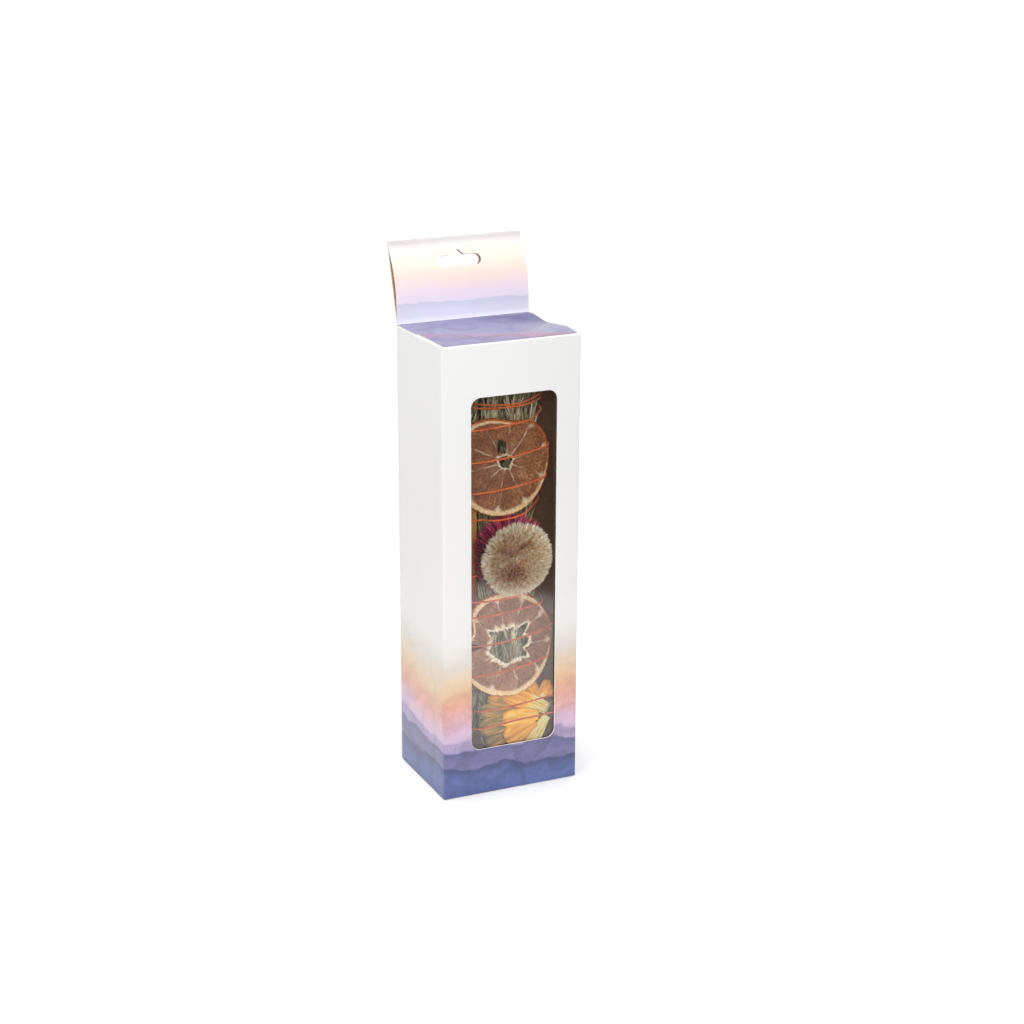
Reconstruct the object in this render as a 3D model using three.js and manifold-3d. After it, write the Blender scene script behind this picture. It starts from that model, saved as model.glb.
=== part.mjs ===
// A bound smudge stick of rosemary and palo santo standing in its windowed hang-tab carton.
// Millimetres, +Z up. The origin is the centre of the carton's bottom face, and its window faces -Y.
import * as THREE from "three";
import { mergeVertices } from "three/addons/utils/BufferGeometryUtils.js";
import Module from "manifold-3d";

const wasm = await Module();
wasm.setup();

// Driving dimensions of the carton
const WIDTH = 75.7;
const DEPTH = 58.8;
const HEIGHT = 240;
const BOARD = 0.6;
const CREASE_GAP = 0.4; // between the lid's underside and the top edges of the walls
const CLEARANCE = 0.3; // between pieces that touch

// Window, its die-cut hole and the film glued behind it
const WINDOW = { centreX: 1.45, low: 25, high: 213.6, width: 47.2, cornerRadius: 5 };
const FILM = { thickness: 0.3, margin: 5 };

// Hang tab: the back panel runs on upwards, leans back, folds over and comes down again
const TAB = { left: -37.6, right: 36.2, slope: 43.3, leanDeg: 16.7, bulge: 4.5, steps: 10 };
const SLOT = { centreX: -0.9, along: 30.4, width: 24.8, height: 5.8, bumpWidth: 9.5, bumpHeight: 3 };

// Lid, its tuck flap and the dust flaps under it
const TUCK = { length: 14, tiltDeg: 8, sideInset: 5, cornerCut: 4 };
const HINGE_Y = DEPTH / 2 - 0.9;
const DUST_FLAP = { reach: 25, front: -24.5, back: 24, taper: 5 };

// Stick: where it stands in the carton, and how far it bows back behind its flower and at its foot
const STICK = { x: 4.5, y: -1, foot: 1.2 };
const FLOWER_BOW = { height: 6.5, z: 124, spread: 30 };
const FOOT_BOW = { height: 4, from: 65, to: 35 };

const SPRIG_RADIUS = 6.2;
const RING = { radiusX: 16, radiusY: 14, angles: [10, 63, 116, 169, 222, 275] };
const SLIM_SPRIG = { dx: -9.5, dy: -12, radius: 4.8 };
const STEM_RADIUS = 1.5;
const NEEDLE = { length: 19, width: 2.6, thickness: 1.4, perSprig: 28, clearStem: 16 };

const PALO_SANTO = { x: -17.5, y: -11.8, low: 72, length: 100, width: 11, depth: 8 };

const SLICE = { rim: 1.5, rib: 1.1, flesh: 0.6, pith: 3.4, bendRadius: 65, segments: 10, ribWidth: 0.9 };
const UPPER_SLICE = {
  x: -1, y: -23.7, z: 177.3, radius: 29.3, tilt: -0.055, cup: 0.0006, turnDeg: 12,
  hole: () => 3.6,
  fleshHole: (segment) => (segment === 2 ? 12.5 : 4.4),
  curl: 2.4,
  dents: [
    { atDeg: 84, spreadDeg: 42, depth: 0.27 },
    { atDeg: 8, spreadDeg: 50, depth: 0.1 },
  ],
};
const LOWER_SLICE = {
  x: 0.8, y: -23.3, z: 78.4, radius: 28, tilt: 0.08, cup: 0.0022, turnDeg: -6,
  hole: (segment) => 7.4 + 1.8 * Math.sin(segment * 2.2),
  fleshHole: (segment) => (segment === 5 ? 19 : 10.6 + 2.2 * Math.cos(segment * 1.7)),
  curl: 1.2,
  dents: [{ atDeg: 150, spreadDeg: 26, depth: 0.12 }],
};

// Strawflower: a fluffed buff disc in front of a ring of magenta bracts
const DISC = { x: 6.8, z: 123.4, edgeY: -20.2, radius: 18.6, height: 4.4, florets: 84, floretLength: 1.6 };
const BRACTS = { x: 4.8, z: 124.8, y: -19.5, rows: [[26, 22.6], [22, 20.8]], width: 2.7, thickness: 0.65 };
const RECEPTACLE = { radius: 5, depth: 3.2 };

// Marigold: a head of broad ray florets lying on its side, its cup to the right
const MARIGOLD = { x: 22, y: -20.5, z: 37, claw: 12, bladeWidth: 11, thickness: 0.7, baseRadius: 3.8 };
const CALYX = { radius: 4.2, length: 5, ribs: 8, ribHeight: 0.5 };

// Binding thread: the height at the front of each turn, from the foot up
const THREAD_RADIUS = 0.45;
const TURN_HEIGHTS = [15, 36, 44.5, 66, 81.5, 96.5, 103.5, 117, 133, 147.5, 164, 180.5, 197.5, 204.8, 206, 216];
const STEPS_PER_TURN = 120;
const THREAD_BEND = 0.4;

const GOLDEN_ANGLE = Math.PI * (3 - Math.sqrt(5));
const radians = THREE.MathUtils.degToRad;
const smooth = THREE.MathUtils.smoothstep;

// A repeatable stream of numbers from 0 to 1.
function randomStream(seed) {
  let state = seed;
  return () => {
    state = (state * 1664525 + 1013904223) % 4294967296;
    return state / 4294967296;
  };
}

// Solids and meshes

function solidOf(geometry, nearness = 1e-4) {
  const flat = geometry.index ? geometry.toNonIndexed() : geometry.clone();
  flat.deleteAttribute("normal");
  flat.deleteAttribute("uv");
  const merged = mergeVertices(flat, nearness);
  const solid = new wasm.Manifold(
    new wasm.Mesh({
      numProp: 3,
      vertProperties: merged.attributes.position.array,
      triVerts: new Uint32Array(merged.index.array),
    }),
  );
  if (solid.volume() < 0) throw new Error("a piece is inside out");
  return solid;
}

// Small pockets shut in between fused pieces are dropped, so that the solid is filled there.
function geometryOf(solid) {
  const rounded = solidOf(plainGeometry(solid.getMesh()), 1e-3).getMesh();
  const points = rounded.vertProperties;
  const geometry = plainGeometry(rounded);
  geometry.setIndex(shells(points, rounded.triVerts).filter((shell) => volume(points, shell) > 0).flat());
  geometry.computeVertexNormals();
  return geometry;
}

function plainGeometry({ vertProperties, triVerts }) {
  const geometry = new THREE.BufferGeometry();
  geometry.setAttribute("position", new THREE.BufferAttribute(vertProperties, 3));
  geometry.setIndex(new THREE.BufferAttribute(triVerts, 1));
  return geometry;
}

// The corner numbers of each shell: a shell's triangles share corners.
function shells(points, corners) {
  const leader = Array.from({ length: points.length / 3 }, (_, i) => i);
  const find = (i) => {
    while (leader[i] !== i) i = leader[i] = leader[leader[i]];
    return i;
  };
  for (let i = 0; i < corners.length; i += 3) {
    leader[find(corners[i])] = find(corners[i + 1]);
    leader[find(corners[i + 1])] = find(corners[i + 2]);
  }
  const groups = new Map();
  for (let i = 0; i < corners.length; i += 3) {
    const key = find(corners[i]);
    if (!groups.has(key)) groups.set(key, []);
    groups.get(key).push(corners[i], corners[i + 1], corners[i + 2]);
  }
  return [...groups.values()];
}

// True if it is one shell, each edge of which, its ends rounded, lies between just two triangles.
function isSound(geometry) {
  const bare = geometry.clone();
  bare.deleteAttribute("normal");
  const merged = mergeVertices(bare, 1e-3);
  const { array } = merged.attributes.position;
  if (shells(array, merged.index.array).length !== 1) return false;
  const place = (i) => [0, 1, 2].map((axis) => array[3 * i + axis].toFixed(3)).join();
  const corners = Array.from(merged.index.array, place);
  const uses = new Map();
  for (let i = 0; i < corners.length; i++) {
    const next = i % 3 === 2 ? i - 2 : i + 1;
    const edge = [corners[i], corners[next]].sort().join(" ");
    uses.set(edge, (uses.get(edge) ?? 0) + 1);
  }
  return [...uses.values()].every((count) => count === 2);
}

// Pieces placed by random draws and fused. A draw whose pieces meet edge to edge is drawn again.
function fuseDrawn(drawPieces, seed) {
  for (let tries = 0; tries < 60; tries++) {
    const geometry = geometryOf(fuse(drawPieces(randomStream(seed + 101 * tries))));
    if (isSound(geometry)) return geometry;
  }
  throw new Error("no draw gives a sound body");
}

function volume(points, shell) {
  const corner = (i) => new THREE.Vector3().fromArray(points, 3 * shell[i]);
  let total = 0;
  for (let i = 0; i < shell.length; i += 3) {
    total += corner(i).dot(corner(i + 1).cross(corner(i + 2))) / 6;
  }
  return total;
}

function fuse(geometries) {
  return geometries.map((geometry) => solidOf(geometry)).reduce((joined, next) => joined.add(next));
}

function box(low, high) {
  const size = high.map((value, i) => value - low[i]);
  const geometry = new THREE.BoxGeometry(...size);
  return geometry.translate(...high.map((value, i) => (value + low[i]) / 2));
}

// An outline in the XZ plane, given depth from y back to y - depth.
function plateFacingFront(shape, y, depth, curveSegments = 6) {
  const geometry = new THREE.ExtrudeGeometry(shape, { depth, bevelEnabled: false, curveSegments });
  const basis = new THREE.Matrix4().makeBasis(
    new THREE.Vector3(1, 0, 0),
    new THREE.Vector3(0, 0, 1),
    new THREE.Vector3(0, -1, 0),
  );
  return geometry.applyMatrix4(basis).translate(0, y, 0);
}

// An outline in the YZ plane, given length along X.
function profileAlongX(shape, left, right) {
  const geometry = new THREE.ExtrudeGeometry(shape, {
    depth: right - left,
    bevelEnabled: false,
    curveSegments: 6,
  });
  const basis = new THREE.Matrix4().makeBasis(
    new THREE.Vector3(0, 1, 0),
    new THREE.Vector3(0, 0, 1),
    new THREE.Vector3(1, 0, 0),
  );
  return geometry.applyMatrix4(basis).translate(left, 0, 0);
}

// A closed skin over rings of points, each ring running anticlockwise seen from the last ring's side.
function skin(rings) {
  const count = rings[0].length;
  const positions = rings.flat().flatMap((point) => [point.x, point.y, point.z]);
  const index = [];
  for (let ring = 0; ring + 1 < rings.length; ring++) {
    for (let i = 0; i < count; i++) {
      const a = ring * count + i;
      const b = ring * count + ((i + 1) % count);
      index.push(a, b, a + count, b, b + count, a + count);
    }
  }
  const last = (rings.length - 1) * count;
  for (let i = 1; i + 1 < count; i++) {
    index.push(0, i + 1, i);
    index.push(last, last + i, last + i + 1);
  }
  const geometry = new THREE.BufferGeometry();
  geometry.setAttribute("position", new THREE.Float32BufferAttribute(positions, 3));
  geometry.setIndex(index);
  return geometry;
}

// A three-sided spike from root to tip, its flat side across the given direction.
function spike(root, tip, across, width, thickness) {
  const along = tip.clone().sub(root).normalize();
  const side = across.clone().projectOnPlane(along).normalize();
  const out = side.clone().cross(along);
  const corners = [
    root.clone().addScaledVector(side, -width / 2),
    root.clone().addScaledVector(out, thickness),
    root.clone().addScaledVector(side, width / 2),
  ];
  const geometry = new THREE.BufferGeometry();
  const positions = [...corners, tip].flatMap((point) => [point.x, point.y, point.z]);
  geometry.setAttribute("position", new THREE.Float32BufferAttribute(positions, 3));
  geometry.setIndex([2, 1, 0, 3, 0, 1, 3, 1, 2, 3, 2, 0]);
  return geometry;
}

// A thin blade: stations give its middle point, half width and the way its flat face looks.
function blade(stations, across, thickness) {
  const rings = stations.map(({ at, half, face }) => {
    const side = across.clone().multiplyScalar(half);
    const up = face.clone().multiplyScalar(thickness / 2);
    return [
      at.clone().add(side).sub(up),
      at.clone().add(side).add(up),
      at.clone().sub(side).add(up),
      at.clone().sub(side).sub(up),
    ];
  });
  return skin(rings);
}

function mesh(name, geometry, color, roughness = 0.7, extra = {}) {
  const made = new THREE.Mesh(
    geometry,
    new THREE.MeshStandardMaterial({ color, roughness, metalness: 0, ...extra }),
  );
  made.name = name;
  return made;
}

// Carton

function roundedOutline(left, low, right, high, radius, Kind = THREE.Path) {
  const path = new Kind();
  path.moveTo(left + radius, low);
  path.lineTo(right - radius, low);
  path.absarc(right - radius, low + radius, radius, -Math.PI / 2, 0);
  path.lineTo(right, high - radius);
  path.absarc(right - radius, high - radius, radius, 0, Math.PI / 2);
  path.lineTo(left + radius, high);
  path.absarc(left + radius, high - radius, radius, Math.PI / 2, Math.PI);
  path.lineTo(left, low + radius);
  path.absarc(left + radius, low + radius, radius, Math.PI, 1.5 * Math.PI);
  return path;
}

function frontPanel(wallTop) {
  const panel = new THREE.Shape();
  panel.moveTo(-WIDTH / 2, 0);
  panel.lineTo(WIDTH / 2, 0);
  panel.lineTo(WIDTH / 2, wallTop);
  panel.lineTo(-WIDTH / 2, wallTop);
  panel.closePath();
  const half = WINDOW.width / 2;
  panel.holes.push(
    roundedOutline(
      WINDOW.centreX - half,
      WINDOW.low,
      WINDOW.centreX + half,
      WINDOW.high,
      WINDOW.cornerRadius,
    ),
  );
  return plateFacingFront(panel, -DEPTH / 2 + BOARD, BOARD);
}

// A folded-in flap under the lid, on the side given by +1 or -1.
function dustFlap(side, wallTop) {
  const wall = side * (WIDTH / 2);
  const end = side * (WIDTH / 2 - DUST_FLAP.reach);
  const outline = new THREE.Shape();
  outline.moveTo(wall, DUST_FLAP.front);
  outline.lineTo(wall, DUST_FLAP.back);
  outline.lineTo(end, DUST_FLAP.back - DUST_FLAP.taper);
  outline.lineTo(end, DUST_FLAP.front + DUST_FLAP.taper);
  outline.closePath();
  const geometry = new THREE.ExtrudeGeometry(outline, { depth: BOARD, bevelEnabled: false });
  return geometry.translate(0, 0, wallTop - BOARD);
}

// The doubled tab as a slim loop in section: a straight back layer and a front layer that bows.
function hangTab() {
  const lean = radians(TAB.leanDeg);
  const base = new THREE.Vector2(DEPTH / 2 - 0.2, HEIGHT - 0.8);
  const upSlope = new THREE.Vector2(Math.sin(lean), Math.cos(lean));
  const toFront = new THREE.Vector2(-Math.cos(lean), Math.sin(lean));
  const at = (along, off) => base.clone().addScaledVector(upSlope, along).addScaledVector(toFront, off);
  const bow = (share) => TAB.bulge * Math.sin(Math.PI * share);
  const shares = Array.from({ length: TAB.steps + 1 }, (_, i) => i / TAB.steps);

  const half = BOARD / 2;
  const outer = [at(0, -half), at(TAB.slope, -half)];
  outer.push(...shares.toReversed().map((share) => at(share * TAB.slope, bow(share) + half)));
  const open = shares.filter((share) => bow(share) > 2 * BOARD);
  const hollow = open.map((share) => at(share * TAB.slope, bow(share) - half));
  hollow.push(at(open.at(-1) * TAB.slope, half), at(open[0] * TAB.slope, half));

  const section = new THREE.Shape(outer);
  section.holes.push(new THREE.Path(hollow));
  const neck = box(
    [TAB.left, DEPTH / 2 - 0.4, HEIGHT - 2],
    [TAB.right, DEPTH / 2, HEIGHT - 0.7],
  );
  return fuse([profileAlongX(section, TAB.left, TAB.right), neck]).subtract(solidOf(slotPunch()));
}

// The hanging slot: a round-ended bar with a low peak in the middle of its top edge.
function slotPunch() {
  const lean = radians(TAB.leanDeg);
  const radius = SLOT.height / 2;
  const left = SLOT.centreX - SLOT.width / 2 + radius;
  const right = SLOT.centreX + SLOT.width / 2 - radius;
  const top = radius;
  const outline = new THREE.Shape();
  outline.moveTo(left, -radius);
  outline.lineTo(right, -radius);
  outline.absarc(right, 0, radius, -Math.PI / 2, Math.PI / 2);
  outline.lineTo(SLOT.centreX + SLOT.bumpWidth / 2, top);
  outline.quadraticCurveTo(SLOT.centreX + 1.8, top + 0.4, SLOT.centreX + 1.2, top + SLOT.bumpHeight - 0.5);
  outline.lineTo(SLOT.centreX, top + SLOT.bumpHeight);
  outline.lineTo(SLOT.centreX - 1.2, top + SLOT.bumpHeight - 0.5);
  outline.quadraticCurveTo(SLOT.centreX - 1.8, top + 0.4, SLOT.centreX - SLOT.bumpWidth / 2, top);
  outline.lineTo(left, top);
  outline.absarc(left, 0, radius, Math.PI / 2, 1.5 * Math.PI);
  const y = DEPTH / 2 - 0.2 + SLOT.along * Math.sin(lean);
  const z = HEIGHT - 0.8 + SLOT.along * Math.cos(lean);
  return plateFacingFront(outline, DEPTH / 4, DEPTH / 2, 4).rotateX(-lean).translate(0, y, z);
}

function carton() {
  const x = WIDTH / 2;
  const y = DEPTH / 2;
  const wallTop = HEIGHT - BOARD - CREASE_GAP;
  const walls = fuse([
    box([-x, -y, 0], [x, y, BOARD]),
    box([-x, -y, 0], [-x + BOARD, y, wallTop]),
    box([x - BOARD, -y, 0], [x, y, wallTop]),
    box([-x, y - BOARD, 0], [x, y, wallTop]),
    frontPanel(wallTop),
    dustFlap(-1, wallTop),
    dustFlap(1, wallTop),
  ]);
  return mesh("carton", geometryOf(walls.add(hangTab())), 0xeef0f2, 0.35);
}

// The lid panel ends in a round bead on its crease, and its tuck flap slants inwards.
function lid() {
  const middle = HEIGHT - BOARD / 2;
  const bead = BOARD / 2;
  const front = -DEPTH / 2;
  const panel = new THREE.Shape();
  panel.moveTo(front, HEIGHT - BOARD);
  panel.lineTo(HINGE_Y, HEIGHT - BOARD);
  panel.absarc(HINGE_Y, middle, bead, -Math.PI / 2, Math.PI / 2);
  panel.lineTo(front, HEIGHT);
  panel.closePath();
  const top = profileAlongX(panel, -WIDTH / 2 + 0.3, WIDTH / 2 - 0.3);

  const half = WIDTH / 2 - TUCK.sideInset;
  const outline = new THREE.Shape();
  outline.moveTo(-half, 0.2);
  outline.lineTo(-half, -TUCK.length + TUCK.cornerCut);
  outline.lineTo(-half + TUCK.cornerCut, -TUCK.length);
  outline.lineTo(half - TUCK.cornerCut, -TUCK.length);
  outline.lineTo(half, -TUCK.length + TUCK.cornerCut);
  outline.lineTo(half, 0.2);
  outline.closePath();
  const flap = plateFacingFront(outline, BOARD, BOARD)
    .rotateX(radians(TUCK.tiltDeg))
    .translate(0, front + 2 * BOARD, HEIGHT - BOARD);
  return mesh("lid", geometryOf(fuse([top, flap])), 0x6f6aa8, 0.3);
}

function windowFilm() {
  const half = WINDOW.width / 2 + FILM.margin;
  const front = -DEPTH / 2 + BOARD + CLEARANCE;
  const geometry = box(
    [WINDOW.centreX - half, front, WINDOW.low - FILM.margin],
    [WINDOW.centreX + half, front + FILM.thickness, WINDOW.high + FILM.margin],
  );
  return mesh("window_film", geometry, 0xf4f6f8, 0.08, { transparent: true, opacity: 0.2 });
}

// Rosemary

// How far the stick's middle lies behind its upright line at a height.
function bow(z) {
  const behindFlower = FLOWER_BOW.height * Math.exp(-(((z - FLOWER_BOW.z) / FLOWER_BOW.spread) ** 2));
  return behindFlower + FOOT_BOW.height * (1 - smooth(z, FOOT_BOW.to, FOOT_BOW.from));
}

const sprigs = [
  { x: STICK.x, y: STICK.y, radius: SPRIG_RADIUS, top: 206 },
  ...RING.angles.map((angle, i) => ({
    x: STICK.x + RING.radiusX * Math.sin(radians(angle)),
    y: STICK.y - RING.radiusY * Math.cos(radians(angle)),
    radius: SPRIG_RADIUS,
    top: 198 + ((i * 5) % 9),
  })),
  { x: STICK.x + SLIM_SPRIG.dx, y: STICK.y + SLIM_SPRIG.dy, radius: SLIM_SPRIG.radius, top: 196 },
];

// A woody stem clothed all round with needles that sweep up towards its tip.
function sprig({ x, y, radius, top }, number) {
  const centre = (z) => new THREE.Vector3(x, y + bow(z), z);
  const stations = Array.from({ length: 15 }, (_, i) => STICK.foot + (i / 14) * (top - STICK.foot));
  const path = new THREE.CatmullRomCurve3(stations.map(centre));
  const section = new THREE.Shape(
    Array.from({ length: 5 }, (_, i) => {
      const angle = (i / 5) * 2 * Math.PI;
      return new THREE.Vector2(STEM_RADIUS * Math.cos(angle), STEM_RADIUS * Math.sin(angle));
    }),
  );
  const stem = new THREE.ExtrudeGeometry(section, { steps: 14, bevelEnabled: false, extrudePath: path });

  const lowest = STICK.foot + NEEDLE.clearStem;
  const drawPieces = (draw) => {
    const pieces = [stem];
    for (let i = 0; i < NEEDLE.perSprig; i++) {
      const rise = lowest + ((top - 1 - lowest) * (i + 0.4 * draw())) / NEEDLE.perSprig;
      const angle = i * GOLDEN_ANGLE + number + 0.3 * draw();
      const reach = (radius - 0.3) * (0.85 + 0.15 * draw());
      const tipHeight = rise + NEEDLE.length * (0.85 + 0.15 * draw());
      const out = new THREE.Vector3(Math.cos(angle), Math.sin(angle), 0);
      const across = new THREE.Vector3(-Math.sin(angle), Math.cos(angle), 0);
      const tip = centre(tipHeight).addScaledVector(out, reach);
      pieces.push(spike(centre(rise), tip, across, NEEDLE.width, NEEDLE.thickness));
    }
    return pieces;
  };
  return mesh(`rosemary_sprig_${number + 1}`, fuseDrawn(drawPieces, number + 11), 0x6b705c, 0.8);
}

// Palo santo: a split stick of wood, four-square but uneven
function paloSantoStick() {
  const { x, y, low, length, width, depth } = PALO_SANTO;
  const draw = randomStream(5);
  const corners = [[-1, -0.7], [-0.7, -1], [0.8, -0.9], [1, 0.6], [0.5, 1], [-0.9, 0.9]];
  const rings = Array.from({ length: 6 }, (_, station) => {
    const z = low + (length * station) / 5;
    const twist = 0.02 * station;
    return corners.map(([cx, cy]) => {
      const size = 0.93 + 0.06 * draw();
      const px = (cx * width * size) / 2;
      const py = (cy * depth * size) / 2;
      return new THREE.Vector3(x + px - twist * py, y + py + twist * px, z);
    });
  });
  return mesh("palo_santo_stick", geometryOf(solidOf(skin(rings))), 0xc89a5c, 0.75);
}

// Dried orange slices

// How far the slice's middle surface lies from the XZ plane, u across and v up from its centre.
function sliceDepth(slice, u, v, angle) {
  const reach = Math.hypot(u, v) / slice.radius;
  const curl = slice.curl * dentAt(slice.dents[0], angle) * reach ** 3;
  return slice.y + (u * u) / (2 * SLICE.bendRadius) + slice.tilt * v + slice.cup * v * Math.max(v, 0) + curl;
}

function dentAt({ atDeg, spreadDeg }, angle) {
  const away = Math.atan2(Math.sin(angle - radians(atDeg)), Math.cos(angle - radians(atDeg)));
  return Math.exp(-((away / radians(spreadDeg)) ** 2));
}

// The share of its full radius that a slice keeps in a direction
function spread(slice, angle) {
  return slice.dents.reduce((left, dent) => left - dent.depth * dentAt(dent, angle), 1);
}

// A wheel in relief: thick rim of pith and peel, raised membranes, thin flesh and a torn middle.
function orangeSlice(name, slice) {
  const spokes = [];
  for (let segment = 0; segment < SLICE.segments; segment++) {
    const start = (segment / SLICE.segments) * 2 * Math.PI + radians(slice.turnDeg);
    const sweep = (2 * Math.PI) / SLICE.segments;
    const rim = slice.radius - SLICE.pith;
    const ribTurn = (r) => Math.min(SLICE.ribWidth / Math.max(r, 3), 0.22);
    spokes.push({ angle: (r) => start - ribTurn(r), high: SLICE.rib, hole: slice.hole(segment), rim });
    spokes.push({ angle: (r) => start + ribTurn(r), high: SLICE.rib, hole: slice.hole(segment), rim });
    const flesh = { high: SLICE.flesh, hole: slice.fleshHole(segment), rim };
    spokes.push({ angle: (r) => start + ribTurn(r) + 0.28 * (sweep - 2 * ribTurn(r)), ...flesh });
    spokes.push({ angle: (r) => start + ribTurn(r) + 0.72 * (sweep - 2 * ribTurn(r)), ...flesh });
  }
  const stations = ({ high, hole, rim }) => [
    [hole, 0.75 * high],
    [hole + 0.2 * (rim - hole), high],
    [rim - 0.6, high],
    [rim + 0.5, SLICE.rim],
    [slice.radius - 0.8, SLICE.rim],
    [slice.radius, 0.6],
  ];
  const ringCount = 6;
  const point = (spoke, ring, face) => {
    const [r, half] = stations(spoke)[ring];
    const angle = spoke.angle(r);
    const shrunk = r * (1 - (1 - spread(slice, angle)) * (r / slice.radius));
    const u = shrunk * Math.cos(angle);
    const v = shrunk * Math.sin(angle);
    return [slice.x + u, sliceDepth(slice, u, v, angle) - face * half, slice.z + v];
  };

  const positions = [];
  const index = [];
  const count = spokes.length;
  for (const face of [1, -1]) {
    for (let ring = 0; ring < ringCount; ring++) {
      for (const spoke of spokes) positions.push(...point(spoke, ring, face));
    }
  }
  const id = (side, ring, spoke) => (side * ringCount + ring) * count + (spoke % count);
  const quad = (a, b, c, d) => index.push(a, b, c, a, c, d);
  for (let spoke = 0; spoke < count; spoke++) {
    for (let ring = 0; ring + 1 < ringCount; ring++) {
      quad(id(0, ring, spoke), id(0, ring + 1, spoke), id(0, ring + 1, spoke + 1), id(0, ring, spoke + 1));
      quad(id(1, ring, spoke), id(1, ring, spoke + 1), id(1, ring + 1, spoke + 1), id(1, ring + 1, spoke));
    }
    const edge = ringCount - 1;
    quad(id(0, edge, spoke), id(1, edge, spoke), id(1, edge, spoke + 1), id(0, edge, spoke + 1));
    quad(id(0, 0, spoke), id(0, 0, spoke + 1), id(1, 0, spoke + 1), id(1, 0, spoke));
  }
  const geometry = new THREE.BufferGeometry();
  geometry.setAttribute("position", new THREE.Float32BufferAttribute(positions, 3));
  geometry.setIndex(index);
  return mesh(name, geometryOf(solidOf(geometry)), 0x8a5a35, 0.5);
}

// Strawflower

// The disc's florets stand out of a low dome, longest at its edge.
function strawflowerDisc() {
  const profile = [new THREE.Vector2(0, 0.4)];
  for (const share of [0.55, 0.8, 0.94]) {
    profile.push(new THREE.Vector2(DISC.radius * share, 0.4 - 0.3 * (1 - share)));
  }
  profile.push(new THREE.Vector2(DISC.radius, 1.3));
  for (const share of [0.85, 0.6, 0.3]) {
    const radius = DISC.radius * share;
    profile.push(new THREE.Vector2(radius, 1 + DISC.height * Math.sqrt(1 - share * share)));
  }
  profile.push(new THREE.Vector2(0, 1 + DISC.height));
  const dome = new THREE.LatheGeometry(profile, 20).rotateX(Math.PI / 2);
  const drawPieces = (draw) => {
    const pieces = [dome];
    for (let i = 0; i < DISC.florets; i++) {
      const share = Math.sqrt((i + 0.5) / DISC.florets);
      const angle = i * GOLDEN_ANGLE + 0.1 * draw();
      const ring = new THREE.Vector3(Math.cos(angle), Math.sin(angle), 0);
      const out = ring.clone().multiplyScalar(1.15 * share ** 3);
      out.z = 1 - 0.75 * share ** 3;
      out.normalize();
      const root = ring.clone().multiplyScalar(DISC.radius * share * 0.95);
      root.z = 1.3 + DISC.height * Math.sqrt(1 - 0.9 * share * share) - 1.6;
      const tip = root.clone().addScaledVector(out, DISC.floretLength + 1 + 0.6 * draw());
      const across = new THREE.Vector3(Math.sin(angle), -Math.cos(angle), 0);
      pieces.push(spike(root, tip, across, 3.1, 2.5));
    }
    return pieces;
  };
  const disc = mesh("strawflower_disc", fuseDrawn(drawPieces, 23), 0xb79a76, 0.9);
  disc.position.set(DISC.x, DISC.edgeY, DISC.z);
  disc.rotation.x = Math.PI / 2;
  return disc;
}

// Stiff pointed bracts in two rows round a cup. They are short below, where a slice lies against them.
function strawflowerBracts() {
  const cup = new THREE.CylinderGeometry(RECEPTACLE.radius, RECEPTACLE.radius - 1.5, RECEPTACLE.depth, 12)
    .rotateX(Math.PI / 2)
    .translate(0, 0, -RECEPTACLE.depth / 2);
  const plate = new THREE.CylinderGeometry(15, 15, 0.9, 24).rotateX(Math.PI / 2).translate(0, 0, -0.45);
  const drawPieces = (draw) => {
    const pieces = [cup, plate];
    BRACTS.rows.forEach(([count, reach], row) => {
      for (let i = 0; i < count; i++) {
        const angle = ((i + row / 2) / count) * 2 * Math.PI + 0.06 * (draw() - 0.5);
        const away = Math.abs(Math.atan2(Math.sin(angle + Math.PI / 2), Math.cos(angle + Math.PI / 2)));
        const length = Math.min(reach, 16.2 + 11 * Math.max(0, away - 0.8)) * (0.96 + 0.04 * draw());
        const out = new THREE.Vector3(Math.cos(angle), Math.sin(angle), 0);
        const across = new THREE.Vector3(-Math.sin(angle), Math.cos(angle), 0);
        const face = new THREE.Vector3(0, 0, 1);
        const height = -0.42 - 0.08 * draw();
        const station = (radius, half) => ({ at: out.clone().multiplyScalar(radius).setZ(height), half, face });
        const stations = [station(13, 0.8), station(length * 0.85, BRACTS.width / 2), station(length, 0.25)];
        pieces.push(blade(stations, across, BRACTS.thickness));
      }
    });
    return pieces;
  };
  const bracts = mesh("strawflower_bracts", fuseDrawn(drawPieces, 41), 0x9c2a5c, 0.5);
  bracts.position.set(BRACTS.x, BRACTS.y, BRACTS.z);
  bracts.rotation.x = Math.PI / 2;
  return bracts;
}

// Marigold

// A ray floret: a narrow claw that opens into a broad blade with an uneven end.
function floret(aim, length, twist, lift) {
  const along = aim.clone().normalize();
  const across = new THREE.Vector3(0, 1, 0).cross(along).normalize().applyAxisAngle(along, twist);
  const face = along.clone().cross(across).normalize();
  const half = MARIGOLD.bladeWidth / 2;
  const clawEnd = MARIGOLD.claw / length;
  const station = (share, width, rise) => ({
    at: along.clone().multiplyScalar(share * length).addScaledVector(face, rise),
    half: width,
    face,
  });
  const stations = [
    station(0.06, 0.8, 0),
    station(clawEnd, 2.2, 0.3 * lift),
    station(clawEnd + 0.5 * (1 - clawEnd), half, lift),
    station(1, half * 0.8, 0.1 * lift),
  ];
  return blade(stations, across, MARIGOLD.thickness);
}

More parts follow.
